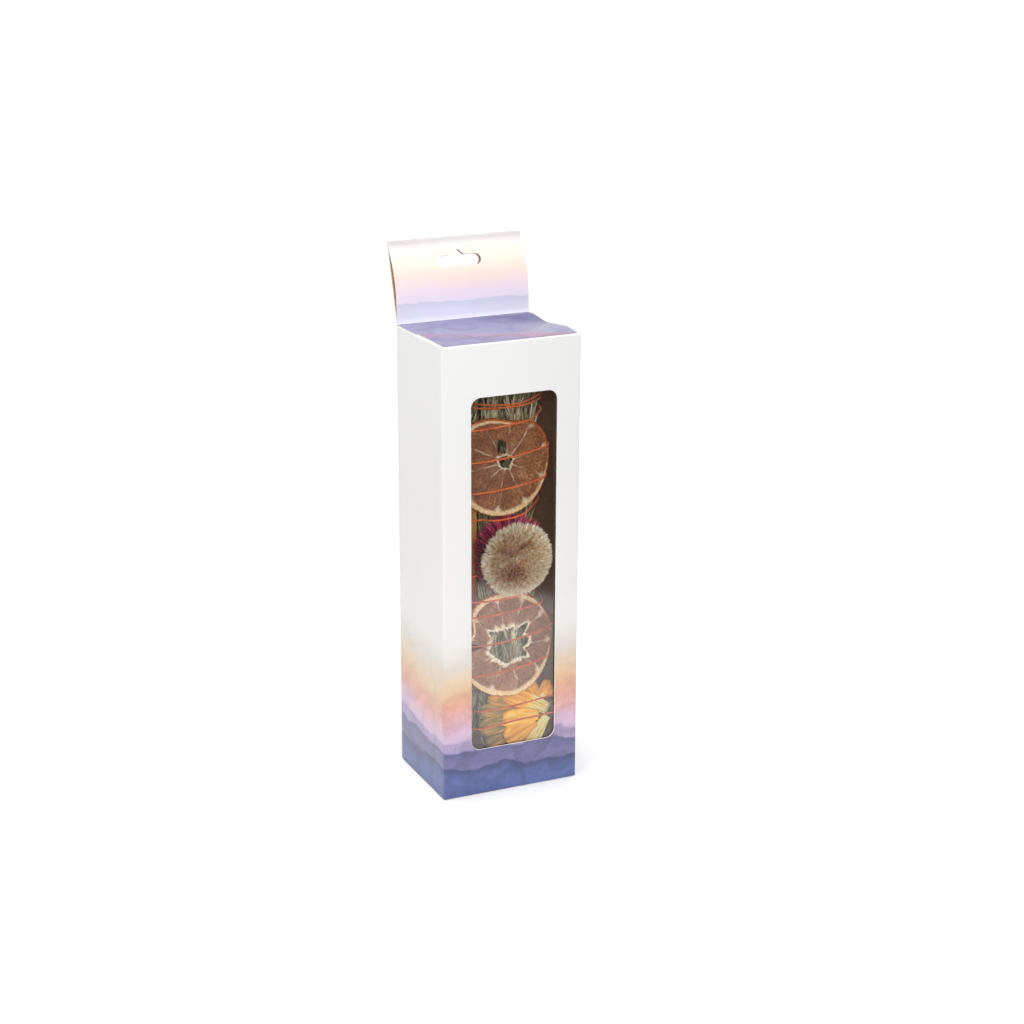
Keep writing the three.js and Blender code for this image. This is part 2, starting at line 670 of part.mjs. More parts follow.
function marigoldHead() {
  const rows = [
    { count: 6, length: 26, from: 106, to: 246, depth: 1.6, lift: 0.9 },
    { count: 6, length: 33, from: 116, to: 236, depth: 0, lift: -0.7 },
    { count: 5, length: 39, from: 138, to: 220, depth: -1.4, lift: 0.6 },
  ];
  const base = new THREE.SphereGeometry(MARIGOLD.baseRadius, 10, 7).scale(1, 0.8, 1.1);
  const drawPieces = (draw) => {
    const pieces = [base];
    for (const { count, length, from, to, depth, lift } of rows) {
      for (let i = 0; i < count; i++) {
        const angle = radians(from + ((to - from) * i) / (count - 1));
        const aim = new THREE.Vector3(Math.cos(angle), 0, Math.sin(angle));
        const reach = length * (0.92 + 0.08 * draw()) * (1 - 0.45 * Math.abs(Math.sin(angle)));
        const petal = floret(aim, reach, 0.16 * (draw() - 0.5), lift);
        pieces.push(petal.translate(0, -depth - (i % 2) * 0.8 - 0.1 * draw(), 0));
      }
    }
    return pieces;
  };
  const head = mesh("marigold_head", fuseDrawn(drawPieces, 31), 0xe0a03a, 0.75);
  head.position.set(MARIGOLD.x, MARIGOLD.y, MARIGOLD.z);
  return head;
}

// The ribbed green cup behind the florets
function marigoldCalyx() {
  const sides = CALYX.ribs * 2;
  const ring = (share, radius) =>
    Array.from({ length: sides }, (_, i) => {
      const angle = (i / sides) * 2 * Math.PI;
      const size = radius + (i % 2 ? 0 : CALYX.ribHeight);
      return new THREE.Vector3(share * CALYX.length, size * Math.cos(angle), size * Math.sin(angle));
    });
  const rings = [ring(0, CALYX.radius * 0.8), ring(0.35, CALYX.radius), ring(0.8, CALYX.radius * 0.7), ring(1, 1.2)];
  const calyx = mesh("marigold_calyx", geometryOf(solidOf(skin(rings))), 0x8d8a55, 0.8);
  calyx.position.set(MARIGOLD.x + MARIGOLD.baseRadius + CLEARANCE, MARIGOLD.y, MARIGOLD.z);
  return calyx;
}

// Binding thread

// Points round every piece that the thread lies on, at one height.
function heldPoints(z) {
  const points = [];
  for (const { x, y, radius, top } of sprigs) {
    if (z > top + NEEDLE.length) continue;
    for (let i = 0; i < 16; i++) {
      const angle = (i / 16) * 2 * Math.PI;
      points.push([x + radius * Math.cos(angle), y + bow(z) + radius * Math.sin(angle)]);
    }
  }
  const { x, y, low, length, width, depth } = PALO_SANTO;
  if (z > low - 1 && z < low + length + 1) {
    for (const sx of [-1, 1]) for (const sy of [-1, 1]) points.push([x + (sx * width) / 2, y + (sy * depth) / 2]);
  }
  for (const slice of [UPPER_SLICE, LOWER_SLICE]) {
    const v = z - slice.z;
    for (let u = -slice.radius; u <= slice.radius; u += 1.5) {
      const angle = Math.atan2(v, u);
      if (Math.hypot(u, v) > slice.radius * spread(slice, angle) + 0.5) continue;
      const depth = sliceDepth(slice, u, v, angle);
      points.push([slice.x + u, depth - SLICE.rim], [slice.x + u, depth + SLICE.rim]);
    }
  }
  if (Math.abs(z - MARIGOLD.z) < 15) {
    const front = MARIGOLD.y - 3.4;
    points.push([MARIGOLD.x - 39.5, front], [MARIGOLD.x + 4, front]);
    const calyxEnd = MARIGOLD.x + MARIGOLD.baseRadius + CLEARANCE + CALYX.length;
    points.push([calyxEnd, MARIGOLD.y - CALYX.radius], [calyxEnd, MARIGOLD.y + CALYX.radius]);
  }
  return points;
}

// How far the taut thread lies from the stick's middle in a direction: the held points' hull.
function threadReach(angle, z) {
  const middle = [STICK.x, STICK.y + bow(z)];
  const points = [-1.3, 0, 1.3].flatMap((off) => heldPoints(z + off));
  const cross = (o, a, b) => (a[0] - o[0]) * (b[1] - o[1]) - (a[1] - o[1]) * (b[0] - o[0]);
  const sorted = points.toSorted((a, b) => a[0] - b[0] || a[1] - b[1]);
  const half = (list) => {
    const chain = [];
    for (const p of list) {
      while (chain.length > 1 && cross(chain.at(-2), chain.at(-1), p) <= 0) chain.pop();
      chain.push(p);
    }
    return chain.slice(0, -1);
  };
  const hull = [...half(sorted), ...half(sorted.toReversed())];
  const direction = [Math.sin(angle), -Math.cos(angle)];
  for (let i = 0; i < hull.length; i++) {
    const a = hull[i];
    const b = hull[(i + 1) % hull.length];
    const edge = [b[0] - a[0], b[1] - a[1]];
    const start = [a[0] - middle[0], a[1] - middle[1]];
    const turn = direction[0] * edge[1] - direction[1] * edge[0];
    const along = (start[0] * edge[1] - start[1] * edge[0]) / turn;
    const share = (start[0] * direction[1] - start[1] * direction[0]) / turn;
    if (turn !== 0 && along > 0 && share >= 0 && share <= 1) return along;
  }
  throw new Error(`no way out of the stick at ${angle}, ${z}`);
}

// The thread bends where it must: a point is dropped if it lies this near the run that replaces it.
function simplified(points, nearness) {
  if (points.length < 3) return points;
  const run = new THREE.Line3(points[0], points.at(-1));
  const gaps = points.map((point) => {
    return run.closestPointToPoint(point, true, new THREE.Vector3()).distanceTo(point);
  });
  const worst = gaps.indexOf(Math.max(...gaps));
  if (gaps[worst] < nearness) return [points[0], points.at(-1)];
  const before = simplified(points.slice(0, worst + 1), nearness);
  return [...before.slice(0, -1), ...simplified(points.slice(worst), nearness)];
}

function bindingThread() {
  const turns = TURN_HEIGHTS.slice(0, -1).map((low, turn) => {
    return Array.from({ length: STEPS_PER_TURN }, (_, i) => {
      const share = i / STEPS_PER_TURN;
      const z = THREE.MathUtils.lerp(low, TURN_HEIGHTS[turn + 1], share);
      const angle = 2 * Math.PI * share;
      const reach = threadReach(angle, z) + THREAD_RADIUS + CLEARANCE + THREAD_BEND;
      return new THREE.Vector3(STICK.x + reach * Math.sin(angle), STICK.y + bow(z) - reach * Math.cos(angle), z);
    });
  });
  const points = turns.flatMap((turn) => simplified(turn, THREAD_BEND));
  const rings = points.map((point, i) => {
    const next = points[Math.min(i + 1, points.length - 1)];
    const along = next.clone().sub(points[Math.max(i - 1, 0)]).normalize();
    const out = new THREE.Vector3(point.x - STICK.x, point.y - STICK.y - bow(point.z), 0).normalize();
    const side = along.clone().cross(out).normalize();
    const outward = side.clone().cross(along);
    return Array.from({ length: 3 }, (_, corner) => {
      const turn = (corner / 3) * 2 * Math.PI;
      return point
        .clone()
        .addScaledVector(outward, THREAD_RADIUS * Math.cos(turn))
        .addScaledVector(side, THREAD_RADIUS * Math.sin(turn));
    });
  });
  return mesh("binding_thread", geometryOf(solidOf(skin(rings))), 0xd9572b, 0.7);
}

const stick = new THREE.Group();
stick.add(
  ...sprigs.map(sprig),
  paloSantoStick(),
  orangeSlice("orange_slice_upper", UPPER_SLICE),
  orangeSlice("orange_slice_lower", LOWER_SLICE),
  strawflowerDisc(),
  strawflowerBracts(),
  marigoldHead(),
  marigoldCalyx(),
  bindingThread(),
);

const boxedStick = new THREE.Group();
boxedStick.add(carton(), lid(), windowFilm(), stick);
export default boxedStick;
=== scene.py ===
"""Looks of the boxed smudge stick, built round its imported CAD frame.

Metres, +Z up, the carton's window faces -Y. Lengths are written in millimetres times MM.
"""
import math
import random

import bpy
from mathutils import Matrix, Vector, noise


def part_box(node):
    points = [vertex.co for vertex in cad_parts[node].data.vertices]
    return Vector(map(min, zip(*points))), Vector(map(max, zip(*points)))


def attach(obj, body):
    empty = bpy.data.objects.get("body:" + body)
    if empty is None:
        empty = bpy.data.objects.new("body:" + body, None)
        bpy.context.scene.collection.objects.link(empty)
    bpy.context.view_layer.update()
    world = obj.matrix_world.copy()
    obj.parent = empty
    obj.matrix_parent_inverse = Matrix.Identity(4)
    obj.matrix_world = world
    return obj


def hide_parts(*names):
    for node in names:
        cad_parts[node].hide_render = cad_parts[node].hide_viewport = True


MM = 0.001
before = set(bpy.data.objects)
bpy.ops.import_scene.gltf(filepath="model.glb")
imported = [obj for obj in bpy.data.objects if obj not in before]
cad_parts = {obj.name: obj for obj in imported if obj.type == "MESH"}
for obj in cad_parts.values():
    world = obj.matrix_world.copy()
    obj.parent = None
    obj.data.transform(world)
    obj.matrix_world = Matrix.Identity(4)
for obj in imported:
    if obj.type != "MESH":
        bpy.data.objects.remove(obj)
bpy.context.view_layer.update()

# Carton: the folded board, its window and its hang tab
BOARD = 0.5 * MM
CARTON_LOW, CARTON_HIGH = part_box("carton")
HALF_WIDTH = CARTON_HIGH[0]
FRONT_Y = CARTON_LOW[1]
BACK_Y = -FRONT_Y
LID_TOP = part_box("lid")[1][2]
WALL_TOP = LID_TOP - 0.6 * MM
FLAP_FOLD = 1.0 * MM
FLAP_BACK = 3.5 * MM
CORNER_RADIUS = 0.7 * MM
WINDOW_CENTRE_X = 1.45 * MM
WINDOW_HALF = 23.6 * MM
WINDOW_LOW = 25 * MM
WINDOW_HIGH = 213.6 * MM
WINDOW_RADIUS = 5 * MM
TAB_LEFT, TAB_RIGHT = -37.6 * MM, 36.2 * MM
TAB_SLOPE = 43.3 * MM
TAB_LEAN = math.radians(16.7)
TAB_BULGE = 4.5 * MM
TAB_FOOT_Y, TAB_FOOT_Z = 29.15 * MM, 239.2 * MM
LID_BACK = 27.2 * MM
LID_FACE = 239.93 * MM
TUCK_LENGTH = 13.2 * MM
TUCK_TILT = 8
SLOT_X, SLOT_ALONG = -0.9 * MM, 30.4 * MM
SLOT_WIDTH, SLOT_HEIGHT = 24.8 * MM, 5.8 * MM
SLOT_PEAK_WIDTH, SLOT_PEAK_HEIGHT = 9.5 * MM, 3.0 * MM

# Stick: where its sprigs stand and how its middle bows back
STICK = Vector((4.5 * MM, -1.0 * MM))
STICK_FOOT = 1.2 * MM
SPRIG_RADIUS = 6.2 * MM
RING_X, RING_Y = 16 * MM, 14 * MM
RING_DEGREES = (10, 63, 116, 169, 222, 275)
SPRIG_TOPS = (198, 203, 199, 204, 200, 205)
NEEDLE_LENGTH = 19 * MM
NEEDLE_WIDTH = 1.05 * MM
NODE_STEP = 2.5 * MM

# Slices: lengths in millimetres, angles in degrees from +X up, as seen from the window.
# Dents are (angle, spread, share of the radius), spikes of the hole (angle, spread, length), the slit
# (angle, from, to), and bare is the (angle, spread) of the side where the peel comes forward. Shade is
# how much lighter the flesh is painted to the right and darker to the left: painted light and shade.
UPPER_SLICE = {
    "centre": (-1, -23.7, 177.3), "radius": 29.3, "tilt": -0.055, "cup": 0.0006, "turn": 12, "curl": 2.4,
    "dents": ((82, 37, 0.26), (8, 42, 0.09)), "hole": 3.2, "squash": 0.0,
    "spikes": ((150, 14, 1.6), (20, 16, 1.2), (-60, 12, 1.0)),
    "fringe": 1.1, "slit": (104, 4.8, 13.6), "slit_width": 2.9, "bare": (14, 52), "shade": 0.1,
}
LOWER_SLICE = {
    "centre": (0.8, -23.3, 78.4), "radius": 28, "tilt": 0.08, "cup": 0.0022, "turn": -6, "curl": 1.2,
    "dents": ((158, 19, 0.28),), "hole": 9.2, "squash": 0.08,
    "spikes": ((142, 8, 4.8), (40, 8, 5.4), (4, 9, 2.2), (-34, 8, 3.0), (-96, 18, 1.6), (190, 12, 1.2)),
    "fringe": 2.8, "slit": (180, 14.0, 27.0), "slit_width": 1.8, "bare": (6, 34), "shade": 0.0,
}
SLICE_SEGMENTS = 10
SLICE_BEND = 65.0
SLICE_TURNS, SLICE_STEPS = 400, 56

DISC_CENTRE = Vector((6.8, -20.4, 123.4)) * MM
DISC_RADIUS = 18.6 * MM
DISC_HEIGHT = 5.0 * MM
BRACT_CENTRE = Vector((4.8, -19.9, 124.8)) * MM
FLORETS = 7200
BRACTS = 980
GOLDEN_ANGLE = math.pi * (3 - math.sqrt(5))
MARIGOLD_BASE = Vector((22, -20.5, 37)) * MM
# Petals: root across and up from the base, direction in degrees, length, width, depth, share of the
# length that is a pale claw, and tint; the low tints of the petals lying left are partly their duller,
# older colour and partly painted shade
MARIGOLD_PETALS = (
    (-10, 8, 163, 22, 12, 0.9, 0, 0.32),
    (-11, 3, 176, 25, 10, 0.6, 0, 0.22),
    (-11, -2, 186, 25, 11, 0.5, 0, 0.17),
    (-9, -7, 200, 24, 12, 0.4, 0, 0.2),
    (-4, -9, 220, 16, 12, 0.8, 0, 0.3),
    (-9, 9, 150, 15, 8, 1.3, 0, 0.44),
    (-3, 8, 128, 13, 9, 1.1, 0, 0.38),
    (-2, 7, 62, 11, 6, 1.0, 0.1, 0.4),
    (-1, 8, 30, 8, 5, 1.2, 0.3, 0.4),
    (2, -3, 237, 19, 7.5, 1.6, 0.85, 0.45),
    (3, 1, 152, 30, 10.5, 1.8, 0.42, 0.46),
    (-5, -4, 207, 19, 12.5, 2.2, 0, 0.5),
    (-3, -1, 178, 21, 9.5, 2.7, 0, 0.62),
)
THREAD_RADIUS = 0.5 * MM
THREAD_STEP = 0.9 * MM
PLY_PITCH = 2.6 * MM
FILM_IOR = 1.64
FILM_THICKNESS = 0.15 * MM

# Camera: angles in degrees, then its distance and how far it stands aside from the aim, in metres
CAMERA_AZIMUTH, CAMERA_ELEVATION, CAMERA_ROLL = -24.66, 17.95, 0.21
CAMERA_AIM = Vector((0, 0, 120 * MM))
CAMERA_DISTANCE, CAMERA_ASIDE, CAMERA_RAISED = 1.17723, 0.01257, 0.02238
CAMERA_LENS = 79.54

# Studio: the table's edge shows as the end of its reflection in the window film. Each softbox has a
# place, a width in metres, a power in watts and a colour.
TABLE_RADIUS = 0.33
ROOM_LIGHT = 0.4
BACK_LIGHT = 0.95
BACKDROP_LIGHT = 1.05
SOFTBOXES = (
    ("softbox_top", (-0.1, -0.1, 1.25), 0.9, 10.0, (1, 1, 1)),
    ("softbox_front", (-0.4, -1.5, 0.72), 0.8, 18.5, (1, 1, 1)),
    ("softbox_left", (-1.7, 0.05, 0.5), 1.0, 5.5, (1, 0.98, 0.94)),
)


# Camera, matched to the photograph's viewing angle

def set_camera():
    """The camera looks at the carton from the left and above, as in the photograph."""
    azimuth, elevation, roll = (math.radians(a) for a in (CAMERA_AZIMUTH, CAMERA_ELEVATION, CAMERA_ROLL))
    back = Vector((
        math.sin(azimuth) * math.cos(elevation),
        -math.cos(azimuth) * math.cos(elevation),
        math.sin(elevation),
    ))
    level = Vector((math.cos(azimuth), math.sin(azimuth), 0))
    upright = back.cross(level)
    right = level * math.cos(roll) + upright * math.sin(roll)
    up = upright * math.cos(roll) - level * math.sin(roll)
    eye = CAMERA_AIM + back * CAMERA_DISTANCE + right * CAMERA_ASIDE + up * CAMERA_RAISED
    data = bpy.data.cameras.new("camera")
    data.sensor_width = 36
    data.lens = CAMERA_LENS
    data.clip_start = 0.01
    data.clip_end = 50
    camera = bpy.data.objects.new("camera", data)
    camera.matrix_world = Matrix.Translation(eye) @ Matrix((right, up, back)).transposed().to_4x4()
    bpy.context.scene.collection.objects.link(camera)
    bpy.context.scene.camera = camera


# Small tools

def linear(code):
    """An sRGB hex colour as linear red, green, blue and alpha."""
    channels = [int(code[i:i + 2], 16) / 255 for i in (1, 3, 5)]
    return [c / 12.92 if c <= 0.04045 else ((c + 0.055) / 1.055) ** 2.4 for c in channels] + [1.0]


def add_node(tree, kind, inputs=None, stops=(), **settings):
    """A node with its settings, inputs as values or as sockets to link from, and a ramp's colour stops."""
    node = tree.nodes.new(kind)
    for name, value in settings.items():
        setattr(node, name, value)
    for name, value in (inputs or {}).items():
        if isinstance(value, bpy.types.NodeSocket):
            tree.links.new(value, node.inputs[name])
        else:
            node.inputs[name].default_value = value
    if stops:
        elements = node.color_ramp.elements
        while len(elements) < len(stops):
            elements.new(0.5)
        for element, (position, code) in zip(elements, stops):
            element.position = position
            element.color = linear(code)
    return node


def new_material(name):
    """A material, its nodes, its Principled shader and the place on the object in metres."""
    material = bpy.data.materials.new(name)
    material.use_nodes = True
    tree = material.node_tree
    place = add_node(tree, "ShaderNodeTexCoord").outputs["Object"]
    return material, tree, tree.nodes["Principled BSDF"], place


def set_values(node, **values):
    """Numbers and colours that are the same all over, on the shader's own sockets."""
    for name, value in values.items():
        node.inputs[name.replace("_", " ")].default_value = value


def make_object(name, points, faces, materials, body="carton", face_materials=None, sharp=35):
    """A mesh object that rides on a body, smooth but for edges sharper than the angle in degrees."""
    mesh = bpy.data.meshes.new(name)
    mesh.from_pydata([tuple(p) for p in points], [], faces)
    for material in materials:
        mesh.materials.append(material)
    if face_materials:
        mesh.polygons.foreach_set("material_index", face_materials)
    mesh.polygons.foreach_set("use_smooth", [True] * len(mesh.polygons))
    mesh.set_sharp_from_angle(angle=math.radians(sharp))
    mesh.update()
    obj = bpy.data.objects.new(name, mesh)
    bpy.context.scene.collection.objects.link(obj)
    if body:
        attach(obj, body)
    return obj


def give_values(obj, name, values):
    """One number for each point, which the material reads by that name."""
    attribute = obj.data.attributes.new(name, "FLOAT", "POINT")
    attribute.data.foreach_set("value", values)


def bake_modifiers(obj):
    """Turns the object's modifiers into its own mesh."""
    evaluated = obj.evaluated_get(bpy.context.evaluated_depsgraph_get())
    baked = bpy.data.meshes.new_from_object(evaluated)
    baked.name = obj.name
    obj.modifiers.clear()
    obj.data = baked
    baked.set_sharp_from_angle(angle=math.radians(35))


def smoothstep(low, high, value):
    """0 below low, 1 above high, and a soft rise between."""
    share = min(max((value - low) / (high - low), 0.0), 1.0)
    return share * share * (3 - 2 * share)


# Materials of the carton

def laminated_board(name, axis, start, stops, warp, wander, bloom=20):
    """Gloss-laminated paperboard: a soft colour wash under a thin clear gloss with slow waves.

    The wash changes along axis. start and the stops' positions are in millimetres along it, warp and
    wander are how far, and at what pattern size, the wash's edges run, and bloom is the width of the
    round blooms where wet pigment dried.
    """
    material, tree, shader, place = new_material(name)
    length = stops[-1][0] - stops[0][0]
    along = add_node(tree, "ShaderNodeVectorMath", {0: place, 1: axis},
                     operation="DOT_PRODUCT").outputs["Value"]
    runs = add_node(tree, "ShaderNodeTexNoise", {
        "Vector": place, "Scale": 1 / (wander * MM), "Detail": 7, "Roughness": 0.52, "Distortion": 0.3,
    })
    shift = add_node(tree, "ShaderNodeMath", {0: runs.outputs["Fac"], 1: -0.5}, operation="ADD").outputs[0]
    moved = add_node(tree, "ShaderNodeMath", {
        0: shift, 1: warp * MM, 2: along,
    }, operation="MULTIPLY_ADD").outputs[0]
    share = add_node(tree, "ShaderNodeMapRange", {
        "Value": moved, "From Min": start * MM, "From Max": (start + length) * MM,
    }).outputs["Result"]
    wash = add_node(tree, "ShaderNodeValToRGB", {"Fac": share},
                    stops=[((p - stops[0][0]) / length, code) for p, code in stops]).outputs["Color"]

    # Pigment settles unevenly where ink is dark: round blooms with a darker drying line, and a 2.4 mm grain
    bent = add_node(tree, "ShaderNodeVectorMath", {
        0: runs.outputs["Color"], 1: (0.5 * bloom * MM,) * 3, 2: place,
    }, operation="MULTIPLY_ADD").outputs[0]
    cells = add_node(tree, "ShaderNodeTexVoronoi", {
        "Vector": bent, "Scale": 1 / (bloom * MM), "Randomness": 1.0,
    }, feature="SMOOTH_F1").outputs["Distance"]
    rings = add_node(tree, "ShaderNodeValToRGB", {"Fac": cells}, stops=(
        (0.0, "#ffffff"), (0.3, "#f2f2f2"), (0.42, "#dedede"), (0.5, "#fafafa"), (0.75, "#ebebeb"),
    )).outputs["Color"]
    grains = add_node(tree, "ShaderNodeTexNoise", {
        "Vector": place, "Scale": 1 / (2.38 * MM), "Detail": 8, "Roughness": 0.7,
    }).outputs["Fac"]
    speck = add_node(tree, "ShaderNodeValToRGB", {"Fac": grains}, stops=(
        (0.3, "#dedede"), (0.55, "#f6f6f6"), (0.75, "#ffffff"),
    )).outputs["Color"]
    tone = add_node(tree, "ShaderNodeMix", {0: 1.0, 6: rings, 7: speck}, data_type="RGBA",
                    blend_type="MULTIPLY").outputs[2]
    pale = add_node(tree, "ShaderNodeRGBToBW", {"Color": wash}).outputs[0]
    ink = add_node(tree, "ShaderNodeMapRange", {
        "Value": pale, "From Min": 0.66, "From Max": 0.3,
    }).outputs["Result"]
    printed = add_node(tree, "ShaderNodeMix", {0: ink, 6: wash, 7: tone}, data_type="RGBA",
                       blend_type="MULTIPLY").outputs[2]
    tree.links.new(printed, shader.inputs["Base Color"])

    # Board is never quite flat: waves about 45 mm long catch the light, over a faint half-millimetre fibre
    waves = add_node(tree, "ShaderNodeTexNoise", {
        "Vector": place, "Scale": 1 / (45.5 * MM), "Detail": 1.5,
    }).outputs["Fac"]
    fibre = add_node(tree, "ShaderNodeTexNoise", {
        "Vector": place, "Scale": 1 / (0.556 * MM), "Detail": 3,
    }).outputs["Fac"]
    slow = add_node(tree, "ShaderNodeBump", {"Height": waves, "Strength": 0.25, "Distance": 0.8 * MM})
    fine = add_node(tree, "ShaderNodeBump", {
        "Height": fibre, "Strength": 0.08, "Distance": 0.04 * MM, "Normal": slow.outputs[0],
    })
    tree.links.new(fine.outputs[0], shader.inputs["Normal"])
    tree.links.new(slow.outputs[0], shader.inputs["Coat Normal"])
    set_values(shader, Roughness=0.42, IOR=1.5, Coat_Weight=0.4, Coat_Roughness=0.07, Coat_IOR=1.5)
    return material


def bare_board(name, light, dark, grain):
    """Uncoated board: a matt, fibrous face with darker flecks, grain millimetres wide."""
    material, tree, shader, place = new_material(name)
    fibre = add_node(tree, "ShaderNodeTexNoise", {
        "Vector": place, "Scale": 1 / (grain * MM), "Detail": 6, "Roughness": 0.7,
    }).outputs["Fac"]
    colour = add_node(tree, "ShaderNodeValToRGB", {"Fac": fibre}, stops=((0.3, dark), (0.65, light)))
    tree.links.new(colour.outputs["Color"], shader.inputs["Base Color"])
    bump = add_node(tree, "ShaderNodeBump", {"Height": fibre, "Strength": 0.2, "Distance": 0.08 * MM})
    tree.links.new(bump.outputs[0], shader.inputs["Normal"])
    set_values(shader, Roughness=0.85, IOR=1.45)
    return material


def window_film_material():
    """Clear PET film, cast and stretched: see-through, its mirror sheen grows towards grazing angles."""
    material, tree, shader, place = new_material("clear_pet_film")
    buckle = add_node(tree, "ShaderNodeTexNoise", {
        "Vector": place, "Scale": 1 / (38.5 * MM), "Detail": 1.5,
    }).outputs["Fac"]
    bump = add_node(tree, "ShaderNodeBump", {
        "Height": buckle, "Strength": 0.35, "Distance": 1.2 * MM,
    }).outputs[0]
    set_values(shader, Base_Color=linear("#ffffff"), Metallic=1.0, Roughness=0.1)
    tree.links.new(bump, shader.inputs["Normal"])
    clear = add_node(tree, "ShaderNodeBsdfTransparent", {"Color": linear("#fdfdfc")})
    # Schlick's rule is the same from both faces, so the thin film never turns opaque at a slant
    head_on = ((FILM_IOR - 1) / (FILM_IOR + 1)) ** 2
    slant = add_node(tree, "ShaderNodeLayerWeight", {"Blend": 0.5, "Normal": bump}).outputs["Facing"]
    steep = add_node(tree, "ShaderNodeMath", {0: slant, 1: 5.0}, operation="POWER").outputs[0]
    share = add_node(tree, "ShaderNodeMath", {
        0: steep, 1: 1 - head_on, 2: head_on,
    }, operation="MULTIPLY_ADD").outputs[0]
    mix = add_node(tree, "ShaderNodeMixShader", {0: share, 1: clear.outputs[0], 2: shader.outputs[0]})
    tree.links.new(mix.outputs[0], tree.nodes["Material Output"].inputs["Surface"])
    return material


# Colour washes: millimetres along the wash's direction, and the colour there. The body's white greys a
# little from the top down to 88 mm
BODY_WASH = (
    (0, "#4b5a94"), (6, "#5767a2"), (11, "#515f97"), (15.2, "#3f4873"), (16, "#726e9c"),
    (21, "#6b6896"), (24.6, "#5f5d8a"), (25.4, "#a092b9"), (30, "#a795b9"), (31.2, "#c2abc4"),
    (36, "#c8a8be"), (41, "#d3a3a6"), (46, "#d69e92"), (52, "#d6a389"), (58, "#d6b18f"),
    (66, "#d4bfa6"), (75, "#d0c8c2"), (88, "#d6d5d2"), (120, "#dedddb"), (240, "#ebebea"),
)
TAB_WASH = (
    (0, "#dfdbea"), (4, "#dcdaeb"), (9.2, "#cccde2"), (10, "#e4daea"), (15, "#e6d5e2"), (20, "#e8d1d2"),
    (24, "#e9d2c8"), (30, "#eadbcb"), (35, "#e7ddd2"), (39, "#dbd4d4"), (44, "#cfc9c9"),
)
LID_WASH = (
    (-30, "#8587ac"), (-25, "#7f81aa"), (-21, "#977fa1"), (-16, "#ab829d"), (-11, "#9b90ae"),
    (-9.8, "#9290b4"), (4, "#8887af"), (16, "#7f7fa8"), (26, "#69699a"), (30, "#55558b"),
)


def body_board():
    """Deep blue at the foot, through violet and peach, to white at the top."""
    return laminated_board("laminated_board_body", (0, 0, 1), 0, BODY_WASH, 22, 42, 18)


def tab_board():
    """Pale violet at the foot of the tab to cream and grey at its fold, up along its slope."""
    up = (0, math.sin(TAB_LEAN), math.cos(TAB_LEAN))
    foot = (TAB_FOOT_Y * up[1] + TAB_FOOT_Z * up[2]) / MM
    return laminated_board("laminated_board_tab", up, foot, TAB_WASH, 11, 34, 14)


def lid_board():
    """Muted violet with one rose band, slantwise from front to back."""
    return laminated_board("laminated_board_lid", (0.45, 1, 0), -30, LID_WASH, 15, 34, 16)


def plain_board():
    """Unprinted white board under the same gloss, for the flaps and the tuck."""
    return laminated_board("laminated_board_plain", (0, 0, 1), 0, ((0, "#ebebe9"), (300, "#ebebe9")), 1, 40)


def carton_materials():
    """The four printed boards, the bare inside and the pale cut edge, by name."""
    return {
        "body": body_board(), "tab": tab_board(), "lid": lid_board(), "plain": plain_board(),
        "inside": bare_board("uncoated_board_inside", "#d0a584", "#aa7d5d", 1.43),
        "edge": bare_board("cut_board_edge", "#f1ece4", "#dcd4c8", 0.667),
    }


# Carton

def board_sheet(name, rows, printed, materials, closed=False, body="carton", row_materials=None,
                turned=False):
    """A folded sheet of board through rows of points, printed outside, bare inside, white at its edges.

    The points lie on the printed side, and turned swaps the sides. printed names the faces' materials,
    and row_materials says which of them each row has.
    """
    count = len(rows[0])
    across = count if closed else count - 1
    points = [p for row in rows for p in row]
    faces, indices = [], []
    for r in range(len(rows) - 1):
        for i in range(across):
            a, b = r * count + i, r * count + (i + 1) % count
            face = (a, b, b + count, a + count)
            faces.append(face[::-1] if turned else face)
            indices.append(row_materials[r] if row_materials else 0)
    names = printed + ["inside"] * len(printed) + ["edge"]
    obj = make_object(name, points, faces, [materials[n] for n in names], body, indices)
    solid = obj.modifiers.new("thickness", "SOLIDIFY")
    solid.thickness = BOARD
    solid.offset = -1
    solid.use_even_offset = True
    solid.material_offset = len(printed)
    solid.material_offset_rim = 2 * len(printed)
    bake_modifiers(obj)
    return obj


def cut_out(obj, outline, frame_matrix, depth):
    """Cuts the outline, pushed through along its frame's third axis, and leaves white board edges."""
    count = len(outline)
    points = [frame_matrix @ Vector((u, v, w)) for w in (-depth, depth) for u, v in outline]
    faces = [tuple(range(count))[::-1], tuple(range(count, 2 * count))]
    faces += [(i, (i + 1) % count, (i + 1) % count + count, i + count) for i in range(count)]
    edge_index = len(obj.data.materials) - 1
    cutter = make_object("cutter", points, faces, list(obj.data.materials), None,
                         face_materials=[edge_index] * len(faces))
    boolean = obj.modifiers.new("cut", "BOOLEAN")
    boolean.operation = "DIFFERENCE"
    boolean.solver = "EXACT"
    boolean.object = cutter
    bake_modifiers(obj)
    bpy.data.objects.remove(cutter)


def soften_edges(obj, width):
    """Rounds the cut and folded edges, with the edge material."""
    bevel = obj.modifiers.new("soft_edges", "BEVEL")
    bevel.width = width
    bevel.segments = 2
    bevel.limit_method = "ANGLE"
    bevel.angle_limit = math.radians(50)
    bevel.material = len(obj.data.materials) - 1


def rounded_outline(low_x, low_z, high_x, high_z, radius, steps=8):
    """A rectangle with rounded corners, anticlockwise from its lower right one."""
    outline = []
    corners = ((high_x, low_z, -90), (high_x, high_z, 0), (low_x, high_z, 90), (low_x, low_z, 180))
    for x, z, start in corners:
        centre_x = x - math.copysign(radius, x - (low_x + high_x) / 2)
        centre_z = z - math.copysign(radius, z - (low_z + high_z) / 2)
        for i in range(steps + 1):
            angle = math.radians(start + 90 * i / steps)
            outline.append((centre_x + radius * math.cos(angle), centre_z + radius * math.sin(angle)))
    return outline


